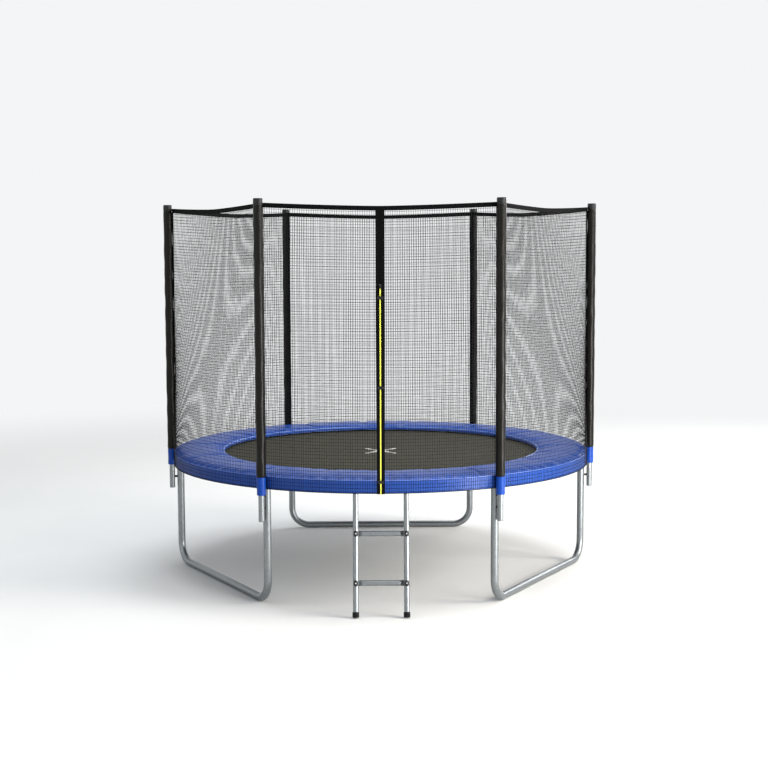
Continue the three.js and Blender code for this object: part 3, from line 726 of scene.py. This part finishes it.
# Jumping mat with its edge webbing, rings and mark
matShape = {
    "thickness": 0.0024,
    "steps": (0.04, 14),  # from this radius out, so many rings
    "sides": 144,
    "edgeWidth": 0.045,
    "markReach": (0.089, 0.099),
    "markWidth": 0.019,
    "markThickness": 0.0008,
    "stitches": 90,
    "ringWire": 0.002,
    "ringCorners": ((1.0545, 0), (1.028, 0.019), (1.028, -0.019)),
    "ringDrop": 0.0015,
}
springCount = 48
matRadius = matHigh[0]
matTop = matHigh[2]


def plateSection(inner, outer, low, high, count):
    # Height and radius of a flat plate: its underside going out, its rounded rim, its top going in
    half = (high - low) / 2
    across = linspace(inner, outer - half * 2, count)
    bend = linspace(-pi / 2, pi / 2, 5)
    rim = joined(low + half * (1 + sin(bend)), outer - half * (1 - cos(bend)))
    return [*joined(low, across), *rim, *joined(high, across[::-1])]


def makeMat():
    # A thin plate, a band over its rim, and two crossed strips whose width ripples with the stitches
    m = matShape
    place, low = atAngle(0), matTop - m["thickness"]
    start, count = m["steps"]
    shape = spun(plateSection(start, matRadius, low, matTop, count), [0, 0, 0], sides=m["sides"])
    disc = addPiece("jumpingMat", [shape], matWeave, place, "mat", "jumping_mat")
    band = plateSection(matRadius - m["edgeWidth"], matRadius - 0.001, low - 0.001, matTop + 0.001, 3)
    band = spun(band, [0, 0, 0], sides=m["sides"], looped=True)
    edge = addPiece("matEdgeWebbing", [band], webbing, place, "mat")
    marks = []
    for sign in (1, -1):
        reach = array(m["markReach"] + (0.0,)) * [1, sign, 1]
        along = linspace(-1, 1, 40)[:, None]
        path = along * reach + [0, 0, matTop + 0.0006 + 0.0004 * (sign > 0)]
        across = np.cross(axisUp, unit(reach)) * m["markWidth"] / 2 * (1 + 0.06 * sin(along * m["stitches"]))
        grid = np.stack([path - across, path + across], axis=1)
        marks.append(slabShape(grid, np.broadcast_to(axisUp, grid.shape), m["markThickness"]))
    mark = addPiece("matMark", marks, markThread, place, "mat")


makeMat()
print("mat made")


# Coil springs and the mat's V rings
springShape = {
    "wire": 0.0014,
    "coil": 0.0078,
    "turns": 24,
    "railEnd": 1.1745,
    "coilStart": 1.158,
    "coilEnd": 1.066,
    "matEnd": 1.047,
    "railHook": 0.006,
    "matHook": 0.005,
    "railHeight": 0.6565,
}


def springPath():
    # A hook down into the rail, a helix, and a hook up through the V ring, along +X
    s = springShape
    turns = linspace(0, 1, s["turns"] * 10 + 1)
    angle = turns * s["turns"] * fullTurn
    grow = s["coil"] * np.clip(np.minimum(turns, 1 - turns) * 14, 0, 1) ** 0.5
    coil = joined(s["coilStart"] + (s["coilEnd"] - s["coilStart"]) * turns, grow * sin(angle),
            grow * cos(angle))
    bend = linspace(pi * 0.9, 0, 8)
    a, b = s["railHook"], s["matHook"]
    railHook = joined(s["railEnd"] - a + a * sin(bend), 0.0, a * cos(bend) - a)
    bend = bend[::-1]
    matHook = joined(s["matEnd"] + b - b * sin(bend), 0.0, b * cos(bend) - b)
    path = concatenate([railHook, coil[2:-2], matHook])
    share = (s["railEnd"] - path[:, 0]) / (s["railEnd"] - s["matEnd"])
    path[:, 2] += s["railHeight"] + (matTop - matShape["ringDrop"] - s["railHeight"]) * share
    return path


def makeSprings():
    # Springs in pairs at even angles, and at the mat's edge triangles of wire with cut corners
    s = springShape
    path = springPath()
    tangent = unit(np.gradient(path, axis=0))
    side = unit(np.cross(tangent, [0, 0.2, 1.0]))
    one = swept(path, circle(s["wire"], 5), np.cross(side, tangent))
    pitch = fullTurn / springCount
    for pair in range(springCount // 2):
        angles = (2 * pair + 0.5) * pitch, (2 * pair + 1.5) * pitch
        two = [moved(one, atAngle(a)) for a in angles]
        replaced = "springs" if pair == 0 else None
        piece = addPiece(f"springs_{pair + 1:02d}", two, zincWire, body=None, replaces=replaced)
        out = outward(sum(angles) / 2)
        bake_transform(piece)
    corner = array(matShape["ringCorners"])
    share = linspace(0.12, 0.88, 4)[None, :, None]
    path = (corner[:, None] + (np.roll(corner, -1, axis=0) - corner)[:, None] * share).reshape(-1, 2)
    path = joined(path[:, 0], path[:, 1], matTop - matShape["ringDrop"])
    ring = swept(path, circle(matShape["ringWire"], 6), axisUp, looped=True)
    rings = [moved(ring, atAngle((k + 0.5) * pitch)) for k in range(springCount)]
    addPiece("matRings", rings, zincWire, body="mat")


makeSprings()
print("springs made")


# Enclosure net
netShape = {
    "bottom": netLow[2],
    "knee": 0.7125,
    "top": netHigh[2] + 0.003,
    "sag": 0.019,
    "columns": 102,
    "rows": 83,
    "lowRows": 5,
    "upright": (0.0017, 0.0009),  # width and thickness of a strand
    "level": (0.0016, 0.0008),
    "levelLift": 0.0004,
    "uneven": 0.07,  # how far a strand strays, in shares of the pitch
    "rowSpan": (0.004, 0.996),  # across the panel
    "lowSpan": (0.1, 0.95),  # up the cloth, below the knee and above it
    "highSpan": (1.005, 1.99),
    "highLimit": (1.002, 1.995),
    "hem": 0.014,
    "topBand": 0.0245,
    "bottomHem": 0.003,
    "slack": 0.0006,
}
netRadius = netHigh[0] - 0.001
netWidth = sixth * netRadius
lowUnit = 1 / (netShape["knee"] - netShape["bottom"])
highUnit = 1 / (netShape["top"] - netShape["knee"])
doorBand = {"left": 0.0235, "right": 0.0245, "taper": 0.85}


def netPoints(u, t, seed):
    # u runs from pole to pole and t up the cloth: 0 to 1 hangs round the pad, 1 to 2 leans in to the straight
    # top edge
    n = netShape
    angle = (u - 0.5) * sixth
    normal = outward(angle)
    low = normal[..., :2] * netRadius
    chord = joined(cos(sixth / 2), (2 * u - 1) * sin(sixth / 2)) * netRadius
    lean = np.clip(t - 1, 0, 1)
    slack = n["slack"] * sin(pi * u) * sin(pi * lean) * ripples(seed, u, t, (3, 9), (2, 7), 6)
    flat = low + (chord - low) * lean[..., None] + normal[..., :2] * slack[..., None]
    top = n["top"] - n["sag"] * (1 - np.abs(2 * u - 1) ** 1.4)
    high = n["knee"] + (top - n["knee"]) * (t - 1)
    z = np.where(t < 1, n["bottom"] + (n["knee"] - n["bottom"]) * t, high)
    return joined(flat[..., 0], flat[..., 1], z), joined(-sin(angle), cos(angle), 0.0), normal


def netStrands(isDoor, seed):
    # Upright strands from the hem to the top band, then level ones, each strayed a little from its place
    n = netShape
    chance = np.random.default_rng(seed + 200)

    def strayed(places):
        return places + chance.uniform(-1, 1, len(places)) * n["uneven"] * (places[1] - places[0])

    hem = n["hem"] * 0.6 / netWidth
    columns = strayed(linspace(hem, 1 - hem, n["columns"]))
    parts = [n["rowSpan"]]
    if isDoor:
        left, right = doorBand["left"] / netWidth, doorBand["right"] / netWidth
        columns = columns[(columns < 0.5 - left) | (columns > 0.5 + right)]
        parts = [(n["rowSpan"][0], 0.5 - left * 0.8), (0.5 + right * 0.8, n["rowSpan"][1])]
    stations = concatenate([linspace(0, 1, 3), linspace(1, 2, 14)[1:]])
    u, t = np.meshgrid(columns, stations, indexing="ij")
    points, across, normal = netPoints(u, t, seed)
    shapes = [manyRibbons(points, across, normal, *n["upright"])]
    high = strayed(linspace(*n["highSpan"], n["rows"])).clip(*n["highLimit"])
    rows = concatenate([linspace(*n["lowSpan"], n["lowRows"]), high])
    for start, end in parts:
        t, u = np.meshgrid(rows, linspace(start, end, int(30 * (end - start)) + 3), indexing="ij")
        points, _, normal = netPoints(u, t, seed)
        up = np.broadcast_to(axisUp, points.shape)
        shapes.append(manyRibbons(points + normal * n["levelLift"], up, normal, *n["level"]))
    return shapes


def netHems(seed):
    # Closed strips of webbing laid on the net, each between two columns and two rows
    n = netShape
    hem, edge = n["hem"] / netWidth, 0.0006 / netWidth
    foot, head = n["bottomHem"] * lowUnit, 2 - n["topBand"] * highUnit
    strips = [  # u and t from and to, counts of columns and rows, thickness, lift
        (edge, 1 - edge, head, 2, 40, 4, 0.0022, 0.0002),
        (edge, 1 - edge, 0, foot, 60, 3, 0.0018, 0),
    ]
    for start, end in ((edge, hem), (1 - hem, 1 - edge)):
        strips += [(start, end, foot, 1, 3, 3, 0.0016, 0.0003), (start, end, 1, head, 3, 24, 0.0018, 0.0006)]
    shapes = []
    for u0, u1, t0, t1, columns, rows, thickness, lift in strips:
        points, _, normal = netPoints(*np.meshgrid(linspace(u0, u1, columns), linspace(t0, t1, rows)), seed)
        shapes.append(slabShape(points + normal * lift, normal, thickness))
    return shapes


def makeNet():
    # Strands and hems of each panel, turned to the panel's own angle
    for k, panel in enumerate(panelNames):
        place = atAngle((k + 0.5) * sixth)
        strands = netStrands(panel == "front", 70 + k)
        cloth = addPiece(f"netMesh_{panel}", strands, netYarn, place, replaces=f"net_panel_{panel}")
        hems = addPiece(f"netHem_{panel}", netHems(70 + k), webbing, place, sharpAngle=30)
        trim = [hems, makeDoorBand()] if panel == "front" else [hems]


# Zip door: band, yellow tape with teeth, slider, pull and buckles.
# Strips are (lift off the net, thickness), blocks are (size, centre) in the door's own axes: x to the right,
# y out of the cloth, z up along it.
zipParts = {
    "tapeHalf": 0.0051,
    "tape": (0.0004, 0.0014),
    "band": (0.0006, 0.0020),
    "head": (0.0006, 0.0016),  # joins both bands above the zip
    "lip": (0.0017, 0.0008),
    "lipReach": (0.0037, 0.0075),
    "bottom": 0.620,
    "top": 1.6915,
    "toothPitch": 0.0042,
    "tooth": (0.0062, 0.0022, 0.0014),
    "toothLift": 0.0016,
    "slider": (0.012, 0.003, 0.020),
    "sliderRise": 0.0025,
    "pullWire": 0.0007,
    "pullHalf": 0.0034,
    "tag": (0.0055, 0.0016, 0.0245),
    "tagTop": -0.0125,
}
buckleShape = {
    "blocks": (  # socket half, prong half, and the prongs' shoulder between them
        ((0.0205, 0.0044, 0.0160), (-0.0052, 0.0122, 0)),
        ((0.0090, 0.0052, 0.0140), (0.0108, 0.0120, 0)),
        ((0.0028, 0.0048, 0.0164), (0.0040, 0.0124, 0))),
    "strap": ((0.0105, 0.0118, 0), (0.0130, 0.0095, 0), (0.0142, 0.0055, 0), (0.0146, 0.0012, 0)),
    "strapHalf": (0.0011, 0.0056),
}
doorTop = netShape["top"] - netShape["sag"]
doorLean = np.arctan2(netRadius * (1 - cos(sixth / 2)), doorTop - netShape["knee"])
doorOut = array([0, -1.0, 0])


def doorPoints(side, z, lift):
    # On the cloth's middle line, which leans in above the knee, and round it, flatter towards the top. side
    # runs to the right on the door as seen from outside, lift away from the cloth
    share = np.clip((z - netShape["knee"]) / (doorTop - netShape["knee"]), 0, 1)
    middle = netRadius * (1 - share * (1 - cos(sixth / 2)))
    curved = middle - netRadius * (1 - cos(side / netRadius)) * (1 - share)
    lean = np.where(z > netShape["knee"], doorLean, 0.0)
    return joined(side, -(curved + lift * cos(lean)), z + lift * sin(lean)) + ringCentre


def doorStrip(left, right, low, high, laid, columns=3):
    # A strip of the door from low to high, narrower towards the bottom
    z = linspace(max(low, netShape["knee"]), high, 40)
    if low < netShape["knee"]:
        z = concatenate([linspace(low, netShape["knee"], 6)[:-1], z])
    z = z[:, None]
    share = (z - zipParts["bottom"]) / (doorTop - zipParts["bottom"])
    taper = doorBand["taper"] + (1 - doorBand["taper"]) * share
    lift, thickness = laid
    grid = doorPoints((left + (right - left) * linspace(0, 1, columns)[None, :]) * taper, z, lift)
    return slabShape(grid, np.broadcast_to(doorOut, grid.shape), thickness)


def makeDoorBand():
    # Each band is folded over the edge of the tape, so that only its middle shows
    z = zipParts
    half, bottom, upper = z["tapeHalf"] * 0.98, z["bottom"] + 0.003, doorTop - 0.004
    inner, outer = z["lipReach"]
    return addPiece("doorBand", [
        doorStrip(-doorBand["left"], -half, bottom, upper, z["band"]),
        doorStrip(half, doorBand["right"], bottom, upper, z["band"]),
        doorStrip(-half * 1.04, half * 1.04, z["top"] + 0.0004, upper, z["head"]),
        doorStrip(-outer, -inner, bottom + 0.001, upper - 0.001, z["lip"]),
        doorStrip(inner, outer, bottom + 0.001, upper - 0.001, z["lip"]),
    ], webbing)


def makeZip():
    # A strip for the tape, and a row of small boxes on each side of its middle for the teeth
    z = zipParts
    tape = doorStrip(-z["tapeHalf"], z["tapeHalf"], z["bottom"] - 0.001, z["top"], z["tape"], 5)
    level = np.arange(z["bottom"] + 0.006, z["top"] - 0.004, z["toothPitch"])[:, None]
    long, tall, deep = z["tooth"]
    centres = doorPoints(array([[-long / 2, long / 2]]), level, z["toothLift"])
    up, out = np.broadcast_to(axisUp, centres.shape), np.broadcast_to(doorOut, centres.shape)
    tape = addPiece("zipTape", [tape], zipYellow, replaces="zip_chain")
    teeth = addPiece("zipTeeth", [manyRibbons(centres, up, out, tall, deep)], zipYellow)


def onDoor(origin, lean):
    # From the door's own axes to the frame
    axes = array([[1, 0, 0], [0, -cos(lean), sin(lean)], [0, sin(lean), cos(lean)]])
    return lambda points: points @ axes + origin


def softBlock(size, centre):
    # A box with rounded edges: each section is a superellipse, drawn in at both ends
    angle = evenAngles(16)
    flat = joined(cos(angle), sin(angle))
    ring = np.sign(flat) * np.abs(flat) ** 0.35
    level = array([-1, -1, -0.96, -0.85, 0.85, 0.96, 1, 1])[:, None]
    scale = array([0.80, 0.86, 0.95, 1, 1, 0.95, 0.86, 0.80])[:, None]
    points = joined(scale * ring[:, 0], scale * ring[:, 1], level) * np.asarray(size) / 2
    return gridShape(points + np.asarray(centre))


def makeSlider():
    # A body with a wider nose and a bridge, an arch that holds the wire loop of the pull
    z = zipParts
    seat = onDoor(array(joints["zip_pull_swing"]["pos_m"]), doorLean)
    width, depth, tall = z["slider"]
    rise, half = z["sliderRise"], z["pullHalf"]
    body = softBlock((width, depth, tall), (0, -0.0029, rise))
    nose = softBlock((width * 0.7, depth * 1.15, tall * 0.5), (0, -0.0027, rise + tall * 0.26))
    angle = linspace(0, pi, 11)
    arch = joined(0.0, -0.0018 + 0.0034 * sin(angle) ** 0.7, rise + 0.0048 * cos(angle))
    bridge = swept(arch, circle(0.0010, 12) * [1.7, 0.8], [1, 0, 0])
    addPiece("zipSlider", [body, nose, bridge], blackPlastic, seat, "zip_slider", "zip_slider")
    angle = linspace(0, pi, 9)
    path = concatenate([
        joined(half * cos(angle), 0.0, -0.001 + 0.001 * sin(angle)),
        joined(-half * 1.25 * cos(angle), 0.0, -0.012 - 0.002 * sin(angle)),
    ])
    loop = swept(path, circle(z["pullWire"], 8), [0, 1, 0], looped=True)
    tag = softBlock(z["tag"], (0, 0, z["tagTop"] - z["tag"][2] / 2))
    addPiece("zipPull", [loop], blackPlastic, seat, "zip_pull", "zip_pull")
    addPiece("zipPullTag", [tag], zipYellow, seat, "zip_pull")


def makeBuckles():
    # Side-release buckle: a socket half, a prong half between its arms, and the strap ends under it
    wide, tall = buckleShape["strapHalf"]
    section = array([[-wide, -tall], [wide, -tall], [wide, tall], [-wide, tall]])
    blocks = [softBlock(*block) for block in buckleShape["blocks"]]
    straps = [swept(array(buckleShape["strap"]) * [sign, 1, 1], section, axisUp) for sign in (-1, 1)]
    for index in (1, 2, 3):
        low, high = nodeBox(f"door_buckle_{index}")
        z = (low[2] + high[2]) / 2
        lean = doorLean if z > netShape["knee"] else 0.0
        seat = onDoor(doorPoints(0.0, z - 0.0012 * (lean > 0), 0.001), lean)
        addPiece(f"doorBuckle_{index}", blocks, blackPlastic, seat, replaces=f"door_buckle_{index}")
        addPiece(f"doorBuckleStrap_{index}", straps, webbing, seat)


makeNet()
print("net made")
makeZip()
makeSlider()
makeBuckles()
print("door made")


# Ladder
ladderShape = {
    "half": 0.1305,
    "tube": 0.014,
    "reach": 0.130,
    "rungDrops": (0.236, 0.488),
    "rungTube": 0.014,
    "tab": (0.015, 0.0018),
    "tabReach": 0.008,
    "flare": 0.024,
    "hookInner": 0.0225,
    "hookOuter": 0.0255,
    "hookWidth": 0.025,
    "hookArc": (-116, 126),
    "saddle": (0.0118, 0.0165, 0.0034),
    "bolt": (0.0036, 0.0026),
    "foot": 0.0173,
    "footDrop": 0.0065,
    "footHeight": 0.028,
    "footGroove": 0.0008,
}
ladderPivot = array(joints["ladder_swing"]["pos_m"])
ladderLean = np.arctan(ladderShape["reach"] / ladderPivot[2])


def atLadder(points):
    # The ladder's own axes start at its hinge, with z up its rails, and lean outwards
    c, s = cos(ladderLean), sin(ladderLean)
    return points @ array([[1, 0, 0], [0, c, -s], [0, s, c]]) + ladderPivot


def saddleWasher(x, z):
    # An oval cap that follows the tube's front, domed at its rim
    wide, high, tall = ladderShape["saddle"]
    steps = linspace(1, 0.35, 7)
    share = concatenate([[1], steps, [0.02]])[:, None]
    angle = evenAngles(28)
    lift = concatenate([[-0.001], tall * (1 - steps ** 5) + 0.0006, [tall + 0.0006]])[:, None]
    across = wide * share * cos(angle)
    face = np.sqrt(ladderShape["tube"] ** 2 - across ** 2)
    return gridShape(joined(x + across, -face - lift, z + high * share * sin(angle)))


def railShapes(x, tubeEnd):
    # A tube cut to the ring at its top, and a hook, a flat strip bent round the ring
    l = ladderShape
    r, inner, outer = l["tube"], l["hookInner"], l["hookOuter"]
    angle = evenAngles(40)
    cut = np.sqrt(inner ** 2 - (r * sin(angle)) ** 2)
    z = -cut + (tubeEnd + cut) * linspace(0, 1, 60)[:, None]
    tube = gridShape(joined(x + r * cos(angle), r * sin(angle), z))
    arc = np.radians(linspace(*l["hookArc"], 40))
    middle, thick = (inner + outer) / 2, (outer - inner) / 2
    path = joined(x, middle * cos(arc), middle * sin(arc))
    corner = [[-0.96, -1], [0.96, -1], [1, -0.5], [1, 0.5]]
    strip = array(corner + [[-x, -y] for x, y in corner])
    return tube, swept(path, strip * [l["hookWidth"] / 2, thick], unit(path - [x, 0, 0]))


def footShape(x, bottom):
    # A turned rubber cap with a groove round it
    r, groove, top = ladderShape["foot"], ladderShape["footGroove"], ladderShape["footHeight"]
    outline = [[0, r * 0.90], [0.002, r * 0.97], [0.004, r], [0.010, r], [0.0108, r - groove],
            [0.0125, r - groove], [0.0133, r], [top - 0.003, r * 0.97], [top, r * 0.90],
            [top, ladderShape["tube"] * 1.01]]
    return spun(array(outline) + [bottom, 0], [x, 0, 0], sides=36)


def boltShape(x, z):
    # A low head, domed at its rim, in front of the saddle washer
    radius, tall = ladderShape["bolt"]
    dome = [[tall * 0.8, radius * 0.82], [tall, radius * 0.45]]
    outline = array([[-0.001, radius], [tall * 0.45, radius], *dome])
    front = ladderShape["tube"] + ladderShape["saddle"][2]
    return spun(outline + [front, 0], [x, 0, z], axis=(0, -1, 0), sides=20)


def rungShape(drop):
    # A tube whose ends are pressed flat behind the rails: the section goes from a circle to a slim oval
    l = ladderShape
    end, flatFrom = l["half"] + l["tabReach"], l["half"] - l["tube"]
    flare = linspace(flatFrom, flatFrom - l["flare"], 12)
    x = concatenate([[end, end - 0.001, end - 0.004, end - 0.010], flare, [0.04]])
    press = np.clip((x - (flatFrom - l["flare"])) / l["flare"], 0, 1)
    press = press * press * (3 - 2 * press)
    tip = array([0.55, 0.75, 0.93] + [1.0] * 14)
    tall = (l["rungTube"] + (l["tab"][0] - l["rungTube"]) * press) * tip
    deep = l["rungTube"] + (l["tab"][1] - l["rungTube"]) * press
    x, tall, deep = (concatenate([v, v[::-1] * s])[:, None] for v, s in ((x, -1), (tall, 1), (deep, 1)))
    angle = evenAngles(36)
    depth = l["tube"] + l["tab"][1] - 0.0003
    return gridShape(joined(x, depth + deep * cos(angle), -drop + tall * sin(angle)))


def makeLadder():
    # Rails with feet, washers and bolts on both sides of the middle, and the rungs between them
    l = ladderShape
    tubeEnd = -(ladderPivot[2] / cos(ladderLean) - 0.0102)
    for side, x in (("left", -l["half"]), ("right", l["half"])):
        addPiece(f"ladderRail_{side}", railShapes(x, tubeEnd), zincTube, atLadder, "ladder",
            f"ladder_rail_{side}")
        saddles, bolts = zip(*[(saddleWasher(x, -drop), boltShape(x, -drop)) for drop in l["rungDrops"]])
        addPiece(f"ladderSaddles_{side}", saddles, blackPlastic, atLadder, "ladder")
        addPiece(f"ladderBolts_{side}", bolts, zincBolt, atLadder, "ladder")
        foot = footShape(x, tubeEnd - l["footDrop"])
        addPiece(f"ladderFoot_{side}", [foot], footRubber, atLadder, "ladder", f"ladder_foot_{side}")
    for number, drop in enumerate(l["rungDrops"], 1):
        addPiece(f"ladderRung_{number}", [rungShape(drop)], zincTube, atLadder, "ladder",
            f"ladder_rung_{number}")


makeLadder()
print("ladder made")


# Floor, background and lamps
stageLook = {
    "floorColours": ("#EDEDEA", "#E9E9E6"),
    "background": "#F4F5F6",
    "ambientColour": "#F3F6FA",
    "ambient": 0.5,
    "floorRadius": 60.0,
    "fade": (3.4, 9.0),
}
lamps = {  # place, aim, size, power, colour
    "key": ((7.2, -2.6, 4.2), (0, 0, 0.9), (3.2, 3.2), 510, "#FFF8EE"),
    "fill": ((-6.5, -5.0, 3.5), (0, 0, 1.0), (4.0, 4.0), 60, "#EEF4FF"),
    "sky": ((0.5, 0.5, 7.0), (0, 0, 0.7), (5.0, 5.0), 330, "#F4F8FF"),
    "rim": ((5.5, 6.5, 3.6), (0, 0, 0.9), (3.0, 3.0), 220, "#FFFFFF"),
    "front": ((3.6, -5.6, 2.7), (0, 0, 0.6), (1.0, 1.0), 60, "#FFFFFF"),
    "strip": ((3.4, -3.3, 0.82), (0, 0, 0.82), (1.25, 1.5), 175, "#FFFFFF"),
}


def showEither(tree, share, first, second, end):
    both = addNode(tree, "MixShader", 0, {}, {}, {0: share, 1: first, 2: second})
    tree.links.new(both, tree.nodes[end].inputs["Surface"])


def makeFloor():
    # Painted floor that fades into the background's own light with the distance
    material, place = startMaterial("studioFloor", 0.1, Roughness=0.9)
    tree = material.node_tree
    joinShader(material, {"Base Color": blended(noise(place, 3, 3), *stageLook["floorColours"])})
    distance = addNode(tree, "VectorMath", "Value", {"operation": "LENGTH"}, {}, {0: place})
    near, far = stageLook["fade"]
    fade = addNode(tree, "MapRange", "Result", {"interpolation_type": "SMOOTHSTEP"},
        {"From Min": near, "From Max": far}, {"Value": distance})
    sky = addNode(tree, "Emission", 0, {}, {"Color": linear(stageLook["background"]), "Strength": 1.0})
    showEither(tree, fade, tree.nodes["Principled BSDF"].outputs[0], sky, "Material Output")
    rim = outward(evenAngles(96)) * stageLook["floorRadius"] - [0, 0, 0.0005]
    mesh = bpy.data.meshes.new("studioFloor")
    mesh.from_pydata(rim.tolist(), [], [list(range(len(rim)))])
    mesh.materials.append(material)
    addObject("studioFloor", mesh)


def makeWorld():
    # A pale ambient light, and the background colour for what the camera and reflections see
    world = bpy.data.worlds.new("studio")
    bpy.context.scene.world = world
    world.use_nodes = True
    tree = world.node_tree
    ambient = tree.nodes["Background"]
    ambient.inputs["Color"].default_value = linear(stageLook["ambientColour"])
    ambient.inputs["Strength"].default_value = stageLook["ambient"]
    seen = addNode(tree, "Background", 0, {}, {"Color": linear(stageLook["background"]), "Strength": 1.0})
    ray = addNode(tree, "LightPath").node.outputs
    shown = combined("MAXIMUM", ray["Is Camera Ray"], ray["Is Glossy Ray"])
    shown = combined("MAXIMUM", shown, ray["Is Transmission Ray"])
    showEither(tree, shown, ambient.outputs[0], seen, "World Output")


def makeLamps():
    # Area lamps, each turned to its aim
    for name, (place, aim, size, power, colour) in lamps.items():
        data = bpy.data.lights.new(name, "AREA")
        data.shape = "RECTANGLE"
        data.size, data.size_y = size
        data.energy = power
        data.color = linear(colour)[:3]
        back = unit(array(place) - array(aim))
        right = unit(np.cross(axisUp, back))
        setAxes(addObject(name, data), right, np.cross(back, right), back, place)


makeFloor()
makeWorld()
makeLamps()
bpy.context.scene.view_settings.view_transform = "Standard"
print("studio made")
